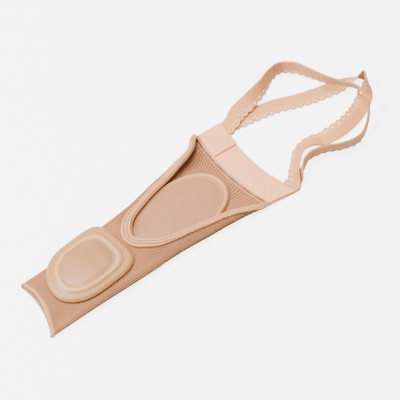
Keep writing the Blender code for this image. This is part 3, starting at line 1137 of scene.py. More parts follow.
@dataclass
class ToeSleeve:
    """The knitted sleeve, its hem, its trim and the stitches along them."""

    form: SleeveForm
    ribs: int = 68
    columns_per_rib: int = 4
    rib_depth: float = 0.00034
    course: float = 0.0013
    row_step: float = 0.00115
    # The rows past the opening's tip: how far they reach, the first one's share, how they crowd
    tip_reach: float = 0.012
    tip_rows: int = 16
    tip_first: float = 0.06
    tip_crowding: float = 2.2
    edge_points: int = 500
    # Share of the girth in which the ribs crowd towards the opening
    crowded: float = 0.3
    hem_length: float = 0.0030
    hem_thickness: float = 0.0022
    hem_lap: float = 0.0014
    hem_stitch: float = 0.0013
    hem_swell: float = 0.20
    trim_width: float = 0.0046
    trim_nose_share: float = 0.42
    trim_lip: float = 0.0006
    trim_thickness: float = 0.0011
    trim_ridges: int = 3
    ridge_height: float = 0.00065
    ridge_side_share: float = 0.16
    ridge_steps: int = 8
    ridge_sharpness: float = 0.8
    # Share of the trim's width in which its edges round off, and how high they start
    edge_reach: float = 0.10
    edge_height: float = 0.45
    trim_stations: int = 300
    # How far round the opening, as a share, the trim's broad end and its fuller sides reach
    nose_spread: float = 0.11
    side_spread: float = 0.14
    # Its width far from the tip and at the heel end, as shares, and how far the latter reaches
    side_share: float = 0.86
    end_share: float = 0.60
    end_fade: float = 0.020
    trim_stitch: Stitch = Stitch(0.0019, 0.0009, 0.00020)
    trim_stitch_place: float = 0.80
    trim_stitch_lift: float = 0.00045

    def knit_edges(self, distance: Array) -> tuple[Array, Array, float]:
        """Runs of the knit's two edges at the opening.

        Args:
            distance: distances from the mouth.

        Returns:
            The left and the right run at each distance, and the distance of the opening's tip.
        """
        line, away = self.form.opening_line(self.edge_points)
        line = line + self.trim_lip * away
        tip = int(np.argmin(line[:, 0]))
        left, right = line[: tip + 1][::-1], line[tip:]
        start = float(line[tip, 0])
        inside = distance > start
        left_run = np.where(inside, np.interp(distance, left[:, 0], left[:, 1]), 0.0)
        right_run = np.where(inside, np.interp(distance, right[:, 0], right[:, 1]), 0.0)
        return left_run, right_run, start

    def row_distances(self) -> tuple[Array, float]:
        """Distances of the knit's rows, closer together at the opening's tip, and the tip's distance.

        Returns:
            The distances from the mouth, and that of the tip.
        """
        start = self.knit_edges(np.array([0.0]))[2]
        before = np.linspace(self.hem_lap, start, int((start - self.hem_lap) / self.row_step))
        shares = np.linspace(self.tip_first, 1.0, self.tip_rows) ** self.tip_crowding
        near = start + self.tip_reach * shares
        after = np.linspace(near[-1], self.form.length, int((self.form.length - near[-1]) / self.row_step))
        return np.concatenate([before, near, after[1:]]), start

    def build_knit(self, finish: Material) -> Piece:
        """Builds the ribbed tube as one sheet with its own inner face.

        Args:
            finish: its material.

        Returns:
            The new piece.
        """
        rows, start = self.row_distances()
        columns = self.ribs * self.columns_per_rib
        share = np.linspace(0.0, 1.0, columns + 1)[None, :]
        distance = rows[:, None] + 0.0 * share
        left, right, _ = self.knit_edges(rows)
        run = self.form.girth(distance) * share
        run = run + left[:, None] * np.maximum(0.0, 1 - share / self.crowded)
        run = run + right[:, None] * np.maximum(0.0, 1 - (1 - share) / self.crowded)
        points, outward = self.form.frames(distance, run)
        valley = 0.5 - 0.5 * np.cos(TURN * self.ribs * share)
        sunk = outward * (self.rib_depth * valley)[..., None]
        wall = np.stack([points - sunk, points - outward * self.form.wall + sunk]).reshape(-1, 3)
        index = np.arange(points.shape[0] * points.shape[1]).reshape(points.shape[:2])
        closed_rows = rows <= start
        index[closed_rows, -1] = index[closed_rows, 0]
        outer_faces = grid_faces(index)
        faces = walled(outer_faces, index.size)
        uv = np.stack([share * self.ribs + 0.0 * distance, distance / self.course], axis=-1)
        uv = quad_corners(uv).reshape(-1, 4, 2)
        edges = np.zeros((len(faces) - 2 * len(outer_faces), 4, 2))
        uv = np.concatenate([uv, uv[:, ::-1], edges]).reshape(-1, 2)
        knit = mesh_object("sleeve_knit", wall, faces, uv)
        loose = sorted(set(range(len(knit.data.vertices))) - set(np.unique(faces).tolist()))
        remove_vertices(knit, loose)
        dress(knit, finish, Slot.KNIT, "toe_sleeve")
        girth = float(self.form.girth(self.form.length))
        return knit

    def build_hem(self, finish: Material) -> Piece:
        """Builds the rolled hem round the mouth, wrapped by its overlock thread.

        Args:
            finish: its material.

        Returns:
            The new piece.
        """
        around, stations = 14, 420
        girth = float(self.form.girth(0.0))
        angle = np.linspace(0.0, TURN, around, endpoint=False)[None, :]
        run = (np.arange(stations) / stations * girth)[:, None]
        wraps = round(girth / self.hem_stitch)
        twist = 0.5 + 0.5 * np.cos(TURN * wraps * run / girth + angle)
        swell = 1.0 + self.hem_swell * (twist - 0.5)
        back = self.hem_length / 2 * (1 - swell * np.cos(angle))
        depth = self.form.wall / 2 - self.hem_thickness / 2 * swell * np.sin(angle)
        points, outward = self.form.frames(back + 0 * run, run + 0 * back)
        points = points - outward * depth[..., None]
        points[..., 2] = np.maximum(points[..., 2], 0.0)
        hem = swept("toe_hem_roll", points, True, np.linspace(0.0, 6.0, around + 1))
        return dress(hem, finish, Slot.HEM, "toe_hem")

    def trim_profile(self) -> Array:
        """Outline of the trim: shares of its width, heights over the knit, and shares of the ridges.

        Returns:
            One row for each point of the outline.
        """
        steps = np.linspace(1.0, 0.0, self.ridge_steps * self.trim_ridges + 1)
        ridge = np.abs(np.sin(math.pi * self.trim_ridges * steps)) ** self.ridge_sharpness
        edge = np.clip(np.minimum(steps, 1 - steps) / self.edge_reach, 0.0, 1.0)
        top = self.trim_thickness * blend(self.edge_height, np.sqrt(edge))
        lip = self.trim_lip / self.trim_width
        wall = self.form.wall
        tail = [
            (-0.6 * lip, 0.35 * self.trim_thickness, 0.0),
            (-0.9 * lip, -0.3 * wall, 0.0),
            (-0.7 * lip, -0.9 * wall, 0.0),
            (0.3 * lip, -1.3 * wall, 0.0),
            (1.6 * lip, -1.2 * wall, 0.0),
            (2.0 * lip, -0.7 * wall, 0.0),
            (1.0, -0.1 * wall, 0.0),
        ]
        return np.array(list(zip(steps, top, ridge)) + tail)

    def build_trim(self, finish: Material) -> Piece:
        """Builds the ribbed trim round the foot opening, broad at its rounded end.

        Args:
            finish: its material.

        Returns:
            The new piece.
        """
        line, away = self.form.opening_line(self.trim_stations)
        outline = self.trim_profile()
        steps = travelled(line)
        from_tip = (steps - steps[int(np.argmin(line[:, 0]))]) / steps[-1]
        nose = np.exp(-((from_tip / self.nose_spread) ** 2))
        fuller = np.exp(-((from_tip / self.side_spread) ** 2))
        ends = smooth_step(np.minimum(steps, steps[-1] - steps) / self.end_fade)
        width = self.trim_width * (1 + self.trim_nose_share * nose)
        width = width * blend(self.end_share, ends) * blend(self.side_share, fuller)
        ridges = self.ridge_height * blend(self.ridge_side_share, nose)
        spot = line[:, None, :] + away[:, None, :] * (width[:, None] * outline[None, :, 0])[..., None]
        points, outward = self.form.frames(np.minimum(spot[..., 0], self.form.length), spot[..., 1])
        height = outline[None, :, 1] + ridges[:, None] * outline[None, :, 2]
        points = points + outward * height[..., None]
        side = outline[:, 0] * self.trim_ridges + 0.5
        trim = swept("opening_trim_ribbed", points, False, np.append(side, side[0]))
        return dress(trim, finish, Slot.HEM, "opening_trim")

    def build_trim_stitches(self, finish: Material) -> Piece:
        """Sews the trim's outer edge to the knit.

        Args:
            finish: its material.

        Returns:
            The new piece.
        """
        line, away = self.form.opening_line(self.trim_stations)
        spot = line + away * self.trim_width * self.trim_stitch_place
        points, outward = self.form.frames(spot[:, 0], spot[:, 1])
        points = points + outward * (self.trim_thickness + self.trim_stitch_lift)
        sewn = self.trim_stitch.sew("trim_stitches", points[6:-6], outward[6:-6])
        return dress(sewn, finish, Slot.HEM)


def remove_vertices(piece: Piece, indices: Sequence[int]) -> None:
    """Deletes vertices that no face uses.

    Args:
        piece: the piece.
        indices: the vertices' numbers.
    """
    if not indices:
        return
    data = bmesh.new()
    data.from_mesh(piece.data)
    data.verts.ensure_lookup_table()
    bmesh.ops.delete(data, geom=[data.verts[i] for i in indices], context="VERTS")
    data.to_mesh(piece.data)
    data.free()


@dataclass
class GelPads:
    """The spacer pad on top of the sleeve and the gel pad inside it."""

    form: SleeveForm
    around: int = 128
    rings: int = 56
    ring_spacing: float = 0.8
    # Rings of the underside: share of the half width, height as a share of the rim's, cloth coordinate
    under: tuple[tuple[float, float, float], ...] = (
        (0.992, 0.35, 1.0),
        (0.965, 0.0, 0.97),
        (0.5, 0.0, 0.5),
    )
    # How far from the rim, as a share, the rings have turned to the rounder inner outline
    rounding_reach: float = 0.5
    gap: float = 0.0003
    inner_roundness: float = 0.55
    spacer_length: float = 0.055
    spacer_half_width: float = 0.0203
    spacer_from_mouth: float = 0.0392
    spacer_side: float = 0.0040
    spacer_slant: float = 0.23
    spacer_squareness: tuple[float, float, float] = (0.34, 0.46, 0.90)
    inner_length: float = 0.073
    inner_half_width: float = 0.0208
    inner_from_mouth: float = 0.1105
    inner_squareness: tuple[float, float, float] = (0.90, 0.90, 0.90)
    # Share of the half width, and height over the pad's underside
    spacer_top: tuple[tuple[float, float], ...] = (
        (0.00, 0.0052),
        (0.30, 0.0050),
        (0.55, 0.0044),
        (0.64, 0.0038),
        (0.69, 0.0040),
        (0.735, 0.0042),
        (0.78, 0.0038),
        (0.83, 0.0030),
        (0.89, 0.0028),
        (0.95, 0.0025),
        (1.00, 0.0013),
    )
    inner_top: tuple[tuple[float, float], ...] = (
        (0.00, 0.0028),
        (0.60, 0.0028),
        (0.80, 0.0027),
        (0.86, 0.0024),
        (0.885, 0.0019),
        (0.905, 0.0018),
        (0.93, 0.0020),
        (0.965, 0.0018),
        (1.00, 0.0008),
    )

    def build_pad(
        self,
        name: str,
        centre: tuple[float, float],
        size: tuple[float, float],
        squareness: tuple[float, float, float],
        slant: float,
        top: Sequence[tuple[float, float]],
        floor_at: Callable[[Array, Array], Array],
    ) -> Piece:
        """Builds a pad of rings that follows what it lies on.

        Args:
            name: the piece's name.
            centre: distance from the mouth and place across.
            size: half length and half width.
            squareness: powers of the outline at the heel end, left and right, and at the toe end.
            slant: how far the left of the toe end moves towards the heel, by its place across.
            top: heights of its top face by share of the half width.
            floor_at: height of what it lies on, at distances and places across.

        Returns:
            The new object.
        """
        shares = np.sin(np.linspace(0.0, math.pi / 2, self.rings)) ** self.ring_spacing
        shares = np.unique(np.concatenate([shares, [row[0] for row in top]]))[1:]
        angle = np.linspace(0.0, TURN, self.around, endpoint=False)
        c, s = np.cos(angle), np.sin(angle)
        power = np.where(c < 0, squareness[2], np.where(s > 0, squareness[0], squareness[1]))
        heights = eased([row[0] for row in top], [row[1] for row in top], shares)

        def ring(share: float, height: float) -> Array:
            """One ring of the pad, rounder the further in it lies.

            Args:
                share: its share of the half width.
                height: its height over what the pad lies on.

            Returns:
                Its points.
            """
            rounder = self.inner_roundness * float(smooth_step((1.0 - share) / self.rounding_reach))
            bent = power + rounder * (1.0 - power)
            outline_y = size[1] * np.sign(s) * np.abs(s) ** bent
            outline_x = size[0] * np.sign(c) * np.abs(c) ** bent + slant * outline_y * np.maximum(0.0, -c)
            x = centre[0] + share * outline_x
            y = centre[1] + share * outline_y
            return np.column_stack([x - self.form.ball_from_mouth, y, floor_at(x, y) + height])

        edge = float(heights[-1])
        rings = [ring(float(share), float(height)) for share, height in zip(shares, heights)]
        rings += [ring(share, part * edge) for share, part, _ in self.under]
        poles = [ring(0.0, float(top[0][1]))[:1], ring(0.0, 0.0)[:1]]
        last = len(rings) * self.around
        index = np.arange(last).reshape(len(rings), self.around)
        index = np.column_stack([index, index[:, 0]])
        out = np.concatenate([shares, [row[2] for row in self.under]])
        table = np.stack(np.meshgrid(out, np.linspace(0, 1, self.around + 1), indexing="ij"), axis=-1)
        fans, fan_uv = [], []
        for k in range(self.around):
            fans += [(last, index[0, k], index[0, k + 1]), (last + 1, index[-1, k + 1], index[-1, k])]
            fan_uv += [(0.0, 0.0), (out[0], 0.0), (out[0], 0.0), (0.0, 0.0), (out[-1], 0.0), (out[-1], 0.0)]
        uv = np.vstack([quad_corners(table).reshape(-1, 2), np.array(fan_uv)])
        return fix_facing(mesh_object(name, np.vstack(rings + poles), grid_faces(index).tolist() + fans, uv))

    def build_spacer(self, finish: Material) -> Piece:
        """Builds the toe spacer pad, with its flat rim, ridge line and low dome.

        Args:
            finish: its material.

        Returns:
            The new piece.
        """

        def on_sleeve(x: Array, y: Array) -> Array:
            """The pad's underside over the sleeve's top layer."""
            along = x / self.form.length
            return self.form.top_height(along, y - self.form.middle(along)) + self.gap

        middle = float(self.form.middle(self.spacer_from_mouth / self.form.length))
        pad = self.build_pad(
            "spacer_pad_gel",
            (self.spacer_from_mouth, middle + self.spacer_side),
            (self.spacer_length / 2, self.spacer_half_width),
            self.spacer_squareness,
            self.spacer_slant,
            self.spacer_top,
            on_sleeve,
        )
        return dress(pad, finish, Slot.GEL, "spacer_pad")

    def build_inner(self, finish: Material) -> Piece:
        """Builds the gel pad on the inside of the bottom layer, with its bevelled margin.

        Args:
            finish: its material.

        Returns:
            The new piece.
        """
        middle = float(self.form.middle(self.inner_from_mouth / self.form.length))
        pad = self.build_pad(
            "sole_pad_gel",
            (self.inner_from_mouth, middle),
            (self.inner_length / 2, self.inner_half_width),
            self.inner_squareness,
            0.0,
            self.inner_top,
            lambda x, y: np.full_like(x, self.form.wall + self.gap),
        )
        return dress(pad, finish, Slot.GEL, "gel_pad")


@dataclass
class HeelBand:
    """The wide elastic across the heel end, the folded strap ends on it and their stitches."""

    form: SleeveForm
    width: float = 0.0185
    skew: float = 0.0034
    seam_gap: float = 0.0007
    thickness: float = 0.0016
    tab_gap: float = 0.0003
    tab_thickness: float = 0.0011
    wave: float = 0.0005
    # How the wave runs: turns across and over in radians, and where it starts
    wave_run: tuple[float, float, float] = (2.2, 1.6, 0.6)
    edge_rounding: float = 0.55
    # Width, length and area of each folded strap end laid flat
    tab_flats: dict[Side, tuple[tuple[float, float], float]] = field(
        default_factory=lambda: {
            Side.LEFT: ((0.0190, 0.0175), 0.00031),
            Side.RIGHT: ((0.0180, 0.0175), 0.00018),
        }
    )
    seam_width: float = 0.0030
    seam_height: float = 0.0005
    seam_stitch: float = 0.0014
    seam_swell: float = 0.25
    # How far the seam's strip sinks into the knit
    seam_bite: float = 0.0002
    # The seam's outline: share of its width, and height as a share of its own
    seam_outline: tuple[tuple[float, float], ...] = (
        (0.0, -0.3),
        (0.1, -0.2),
        (0.2, -0.1),
        (0.36, -0.1),
        (0.5, 0.0),
        (0.6, 0.9),
        (0.76, 1.1),
        (0.92, 0.8),
        (1.0, 0.1),
    )
    seam_thread: Stitch = Stitch(0.0110, 0.0001, 0.00042)
    seam_thread_over: float = -0.026
    seam_thread_lift: float = 0.00034
    tab_stitch: Stitch = Stitch(0.0016, 0.0009, 0.00013)
    tab_stitch_lift: float = 0.00006
    # Corners of each tab as across and over, from the seam's corner round to the strap
    tabs: dict[Side, tuple[tuple[float, float], ...]] = field(
        default_factory=lambda: {
            Side.LEFT: ((0.98, 0.06), (0.43, 0.10), (0.47, 1.0), (1.01, 1.0)),
            Side.RIGHT: ((-0.97, 0.06), (-0.69, 0.55), (-0.46, 1.0), (-1.0, 1.0)),
        }
    )
    # The sewn line on each tab, in the same measures
    tab_lines: dict[Side, tuple[tuple[float, float], ...]] = field(
        default_factory=lambda: {
            Side.LEFT: ((0.93, 0.11), (0.66, 0.60), (0.64, 0.93), (0.97, 0.93)),
            Side.RIGHT: ((-0.92, 0.15), (-0.72, 0.56), (-0.52, 0.93), (-0.96, 0.93)),
        }
    )

    def point(self, across: Array, over: Array, height: Array | float) -> Array:
        """A point of the band: across from -1 at the right end to 1 at the left, over from 0 to 1.

        Args:
            across: places across.
            over: places from the sleeve's end to the heel edge.
            height: heights over the ground.

        Returns:
            The points.
        """
        across, over = np.broadcast_arrays(np.asarray(across, float), np.asarray(over, float))
        x = self.form.length + self.seam_gap + self.form.heel_bow * across * across + self.width * over
        y = float(self.form.middle(1.0)) + across * self.form.heel_half_width - self.skew * over
        turns, slant, start = self.wave_run
        ripple = np.maximum(0.0, np.sin(turns * across + slant * over + start))
        lift = self.wave * ripple * np.sin(math.pi * over)
        return np.stack([x - self.form.ball_from_mouth, y, lift + height], axis=-1)

    def edge_x(self, side: Array) -> Array:
        """Where the heel edge lies along X at a place across.

        Args:
            side: places across, in metres.

        Returns:
            The places along X.
        """
        centre = float(self.form.middle(1.0)) - self.skew
        across = (np.asarray(side) - centre) / self.form.heel_half_width
        edge = self.form.length + self.seam_gap + self.form.heel_bow * across**2 + self.width
        return edge - self.form.ball_from_mouth

    def slab(self, name: str, across: Array, over: Array, height: float, thickness: float) -> Piece:
        """A rounded slab on the band's own surface.

        Args:
            name: the piece's name.
            across: places across, by row and column.
            over: places over the band's width.
            height: height of the slab's middle.
            thickness: its thickness.

        Returns:
            The new piece.
        """
        middle = self.point(across, over, height)
        normals = unit(np.cross(np.gradient(middle, axis=1), np.gradient(middle, axis=0)))
        normals *= np.sign(normals[..., 2:3])
        uv = np.stack([across * self.form.heel_half_width, over * self.width], axis=-1) / CLOTH_UNIT
        return rounded_slab(name, middle, normals, thickness, thickness * self.edge_rounding, uv)

    def build_band(self, finish: Material) -> Piece:
        """Builds the plain wide elastic.

        Args:
            finish: its material.

        Returns:
            The new piece.
        """
        across = edge_spaced(96, 0.012) * 2 - 1
        over = edge_spaced(30, 0.04)
        grid = np.meshgrid(across, over, indexing="ij")
        band = self.slab("heel_band_elastic", grid[0], grid[1], self.thickness / 2, self.thickness)
        dress(band, finish, Slot.ELASTIC, "heel_band")
        return band

    def build_tab(self, side: Side, finish: Material) -> Piece:
        """Builds the folded strap end on one end of the band.

        Args:
            side: which end.
            finish: its material.

        Returns:
            The new piece.
        """
        corners = np.array(self.tabs[side])
        u, v = np.meshgrid(edge_spaced(26, 0.03), edge_spaced(26, 0.03), indexing="ij")
        low = corners[0] * (1 - u)[..., None] + corners[1] * u[..., None]
        high = corners[3] * (1 - u)[..., None] + corners[2] * u[..., None]
        spot = low * (1 - v)[..., None] + high * v[..., None]
        height = self.thickness + self.tab_gap + self.tab_thickness / 2
        tab = self.slab(f"strap_end_{side.value}", spot[..., 0], spot[..., 1], height, self.tab_thickness)
        dress(tab, finish, Slot.ELASTIC, f"strap_tab_{side.value}")
        return tab

    def build_seam(self, finish: Material) -> Piece:
        """Builds the overlocked strip that joins the knit's end to the band.

        Args:
            finish: its material.

        Returns:
            The new piece.
        """
        stations = 240
        across = np.linspace(0.985, -0.985, stations)[:, None]
        wraps = 0.5 + 0.5 * np.cos(TURN * across * self.form.heel_half_width / self.seam_stitch)
        outline = np.array(self.seam_outline)
        along = (outline[:, 0] - 0.5) * self.seam_width - self.seam_gap / 2
        rise = self.seam_height * outline[:, 1] * (1.0 + self.seam_swell * (wraps - 0.5))
        top = self.point(across, along / self.width, self.form.wall + rise)
        low = self.point(across, along / self.width, self.form.wall - self.seam_bite)
        rings = np.concatenate([top, low[:, ::-1]], axis=1)
        side = np.linspace(0.0, 4.0, rings.shape[1] + 1)
        return dress(swept("heel_seam_overlock", rings, False, side), finish, Slot.ELASTIC)

    def build_seam_thread(self, finish: Material) -> Piece:
        """Lays the sewing thread in the seam's groove, near-black: the thread's own dark tone together with
        painted shade of the groove.

        Args:
            finish: its material.

        Returns:
            The new piece.
        """
        across = np.linspace(0.97, -0.97, 120)
        path = self.point(across, self.seam_thread_over, self.form.wall + self.seam_thread_lift)
        return dress(self.seam_thread.sew("seam_stitches", path, upward(path)), finish, Slot.ELASTIC)

    def build_stitches(self, finish: Material) -> list[Piece]:
        """Sews each strap end along its fold and its edges.

        Args:
            finish: their material.

        Returns:
            The stitches of each strap end.
        """
        height = self.thickness + self.tab_gap + self.tab_thickness + self.tab_stitch_lift
        pieces = []
        for side, line in self.tab_lines.items():
            legs = [np.linspace(start, end, 40) for start, end in zip(line, line[1:])]
            across, over = np.vstack(legs).T
            path = self.point(across, over, height)
            sewn = self.tab_stitch.sew(f"strap_end_stitches_{side.value}", path, upward(path))
            pieces.append(dress(sewn, finish, Slot.ELASTIC))
        return pieces


def upward(points: Array) -> Array:
    """The direction up, once for each point."""
    return np.tile([0.0, 0.0, 1.0], (len(points), 1))


def edge_spaced(count: int, margin: float) -> Array:
    """Shares from 0 to 1 with extra ones close to both ends, where a rounding needs them.

    Args:
        count: how many evenly spaced shares there are.
        margin: how far the close ones reach.

    Returns:
        The shares.
    """
    inner = np.linspace(margin, 1 - margin, count)
    close = margin * np.array([0.0, 0.12, 0.3, 0.6])
    return np.concatenate([close, inner, 1 - close[::-1]])


@dataclass(frozen=True)
class LacePattern:
    """One repeat of the lace edge: a ring between two bars, a stem, and a scalloped border."""

    pitch: float = 0.0048
    width: float = 0.0045
    cells: int = 20
    lap: float = 0.0004
    scallop: float = 0.0009
    border: float = 0.00066
    top: float = 0.00100
    bar: float = 0.00100
    ring_radius: float = 0.00110
    ring_thread: float = 0.00070
    ring_drop: float = 0.00205
    stem: float = 0.00042
    stem_drop: float = 0.0028
    thin: float = 0.00012
    swell: float = 0.00036
    full_depth: float = 0.0004

    def depth(self, x: Array, y: Array) -> Array:
        """How deep inside a thread a place lies; below 0 it is a hole.

        Args:
            x: place along the repeat, from -0.5 to 0.5 of its pitch.
            y: place below the tape, in metres.

        Returns:
            The depth, in metres.
        """
        x, y = np.broadcast_arrays(x, y)
        along = x * self.pitch
        edge = self.width - self.scallop * (0.5 + 0.5 * np.cos(TURN * (x + 0.5)))
        border = self.border - np.abs(y - (edge - self.border))
        bar = np.minimum(self.bar - np.abs(np.abs(along) - self.pitch / 2), edge - y)
        ring = self.ring_thread - np.abs(np.hypot(along, y - self.ring_drop) - self.ring_radius)
        stem = np.minimum(self.stem - np.abs(along), np.minimum(edge - y, y - self.stem_drop))
        return np.maximum.reduce([border, self.top - y, bar, ring, stem])

    def half_thickness(self, depth: Array) -> Array:
        """Half the lace's thickness at a depth inside a thread."""
        return self.thin + self.swell * np.sqrt(np.clip(depth / self.full_depth, 0.0, 1.0))


@dataclass
class HeelStraps:
    """The two lace-edged elastics that go round the heel."""

    band: HeelBand
    width: float = 0.0110
    thickness: float = 0.0012
    clearance: float = 0.0003
    loop_reach: float = 0.092
    lace: LacePattern = LacePattern()
    tape_share: float = 0.92
    tape_rounding: float = 0.0005
    fine_steps: int = 900
    tape_rows: int = 300
    # Extra rows of the tape close to its ends, and how far below the lace its cells reach
    end_rows: tuple[float, float] = (0.0003, 0.001)
    lace_margin: float = 0.0001
    # Least depth of the lace's thread where it joins the tape
    joined_depth: float = 0.0002
    heading_reach: float = 0.0006
    end_run: float = 0.0128
    # reach, side, lean and lift, from the left end of the band to the right end
    outer_route: tuple[tuple[float, ...], ...] = (
        (0.000, 1.00, 0, 1.0),
        (0.060, 1.04, 3, 1.0),
        (0.130, 1.12, 12, 1.0),
        (0.255, 1.15, 36, 1.3),
        (0.389, 1.22, 60, 1.3),
        (0.495, 1.35, 74, 0.6),
        (0.582, 1.37, 82, 0.2),
        (0.650, 1.14, 84, 1.2),
        (0.693, 0.74, 92, 2.6),
        (0.731, 0.34, 100, 4.0),
        (0.794, 0.04, 112, 4.1),
        (0.841, -0.24, 112, 4.1),
        (0.817, -0.60, 103, 4.0),
        (0.719, -0.95, 90, 1.6),
        (0.598, -1.13, 84, 0.2),
        (0.468, -1.03, 80, 0.0),
        (0.359, -0.84, 80, 0.0),
        (0.246, -0.76, 84, 0.0),
        (0.142, -0.88, 76, 0.0),
        (0.085, -0.90, 10, 0.0),
        (0.036, -0.99, 0, 0.0),
        (0.000, -1.00, 0, 0.0),
    )
    inner_route: tuple[tuple[float, ...], ...] = (
        (0.000, 1.00, 0, 0.0),
        (0.060, 1.02, 0, 0.0),
        (0.122, 0.98, 0, 0.0),
        (0.241, 0.89, 0, 0.0),
        (0.384, 0.76, 0, 0.0),
        (0.502, 0.58, 0, 0.0),
        (0.626, 0.43, 0, 0.0),
        (0.747, 0.31, -3, 0.0),
        (0.815, 0.24, -9, 0.0),
        (0.906, 0.14, -46, 0.0),
        (0.972, 0.05, -86, 0.0),
        (0.938, -0.20, -64, 0.0),
        (0.865, -0.33, -10, 0.0),
        (0.720, -0.54, -22, 0.0),
        (0.583, -0.60, -22, 0.0),
        (0.459, -0.54, -6, 0.0),
        (0.349, -0.43, 20, 0.0),
        (0.248, -0.45, 38, 0.0),
        (0.160, -0.63, 50, 0.0),
        (0.085, -0.83, 42, 1.2),
        (0.036, -0.99, 0, 1.0),
        (0.000, -1.00, 0, 1.0),
    )

    def route_table(self, route: Sequence[Sequence[float]]) -> tuple[Array, Array, Array]:
        """The strap's middle line at fine steps.

        Args:
            route: the route's rows.

        Returns:
            The runs from its start, its middle points and the directions to its plain edge.
        """
        form = self.band.form
        anchor = form.heel_half_width - self.width / 2
        start = float(self.band.point(anchor / form.heel_half_width, 1.0, 0.0)[0])
        reach, side, lean, lift = np.array(route, float).T
        x = start + self.clearance + reach * self.loop_reach
        y = float(self.band.point(0.0, 1.0, 0.0)[1]) + side * anchor
        steps = travelled(np.column_stack([x, y]))
        at = np.linspace(0.0, steps[-1], self.fine_steps)
        x, y, lean, lift = (eased(steps, column, at) for column in (x, y, lean, lift))
        run = travelled(np.column_stack([x, y]))
        ahead = unit(np.column_stack([np.gradient(x), np.gradient(y)]))
        tilt = np.radians(lean)
        plain = np.column_stack([-ahead[:, 1] * np.cos(tilt), ahead[:, 0] * np.cos(tilt), np.sin(tilt)])
        lowest = self.width / 2 * np.abs(np.sin(tilt)) + self.thickness / 2 * np.abs(np.cos(tilt))
        height = lowest + np.maximum(lift, 0.0) * (self.thickness + self.clearance)
        return run, np.column_stack([x, y, height]), plain

    def place(self, route: Sequence[Sequence[float]], run: Array, level: Array) -> tuple[Array, Array]:
        """Points of the strap's middle surface.

        Args:
            route: the route's rows.
            run: runs along the strap.
            level: places across it, the plain edge positive.

        Returns:
            The points, and the directions of the thickness there.
        """
        table, centres, plains = self.route_table(route)
        run, level = np.broadcast_arrays(run, level)
        centre = read_line(run, table, centres)
        plain = unit(read_line(run, table, plains))
        spot = centre + plain * level[..., None]
        near_end = np.clip(1 - np.minimum(run, table[-1] - run) / self.end_run, 0.0, 1.0)
        along_band = centre[..., 0] + self.band.edge_x(spot[..., 1]) - self.band.edge_x(centre[..., 1])
        spot[..., 0] += near_end * (along_band - spot[..., 0])
        ahead = np.minimum(run + self.heading_reach, table[-1])
        back = np.maximum(run - self.heading_reach, 0.0)
        way = read_line(ahead, table, centres) - read_line(back, table, centres)
        return spot, unit(np.cross(way, plain))

    def build_tape(
        self, name: str, node: str, route: Sequence[Sequence[float]], finish: Material
    ) -> Piece:
        """Builds the plain elastic part of one strap.

        Args:
            name: the piece's name.
            node: the solid it stands for.
            route: the route's rows.
            finish: its material.

        Returns:
            The new piece.
        """
        length = float(self.route_table(route)[0][-1])
        close, even = self.end_rows
        inner_runs = np.linspace(even, length - even, self.tape_rows)
        runs = np.concatenate([[0.0, close], inner_runs, [length - close, length]])
        low = -self.width / 2 + self.lace.width - self.lace.lap
        levels = self.width / 2 + (low - self.width / 2) * edge_spaced(12, 0.06)
        run, level = np.meshgrid(runs, levels, indexing="ij")
        middle, normals = self.place(route, run, level)
        uv = np.stack([run, level], axis=-1) / CLOTH_UNIT
        tape = rounded_slab(name, middle, normals, self.thickness * self.tape_share, self.tape_rounding, uv)
        return dress(tape, finish, Slot.LACE, node)

    def build_lace(
        self, name: str, node: str, route: Sequence[Sequence[float]], finish: Material
    ) -> Piece:
        """Builds the pierced lace edge: rings, bars and a scalloped border of rounded threads.

        Args:
            name: the piece's name.
            node: the solid it stands for.
            route: the route's rows.
            finish: its material.

        Returns:
            The new piece.
        """
        length = float(self.route_table(route)[0][-1])
        repeats = round(length / self.lace.pitch)
        cells = self.lace.cells
        columns = np.arange(repeats * cells + 1)
        drops = np.linspace(0.0, self.lace.width + self.lace_margin, cells + 1)
        depth = self.lace.depth(((columns % cells) / cells - 0.5)[:, None], drops[None, :])
        depth[:, 0] = np.maximum(depth[:, 0], self.joined_depth)
        flat, faces, inside = contour_mesh(depth)
        run = np.clip(flat[:, 0] / cells * length / repeats, 0.0, length)
        level = -self.width / 2 + self.lace.width - np.interp(flat[:, 1], np.arange(cells + 1), drops)
        middle, normals = self.place(route, run, level)
        half = self.lace.half_thickness(inside)[:, None]
        lace = closed_sheet(name, middle + normals * half, middle - normals * half, faces)
        return dress(lace, finish, Slot.LACE, node)

    def build(self, tape: Material, lace: Material) -> None:
        """Builds both straps, each of a tape and its lace edge.

        Args:
            tape: the tapes' material.
            lace: the lace edges' material.
        """
        for word, route in (("outer", self.outer_route), ("inner", self.inner_route)):
            node = f"heel_strap_{word}"
            plain = self.build_tape(f"{word}_strap_tape", node, route, tape)
            edging = self.build_lace(f"{word}_strap_lace", node, route, lace)
            length = float(self.route_table(route)[0][-1])


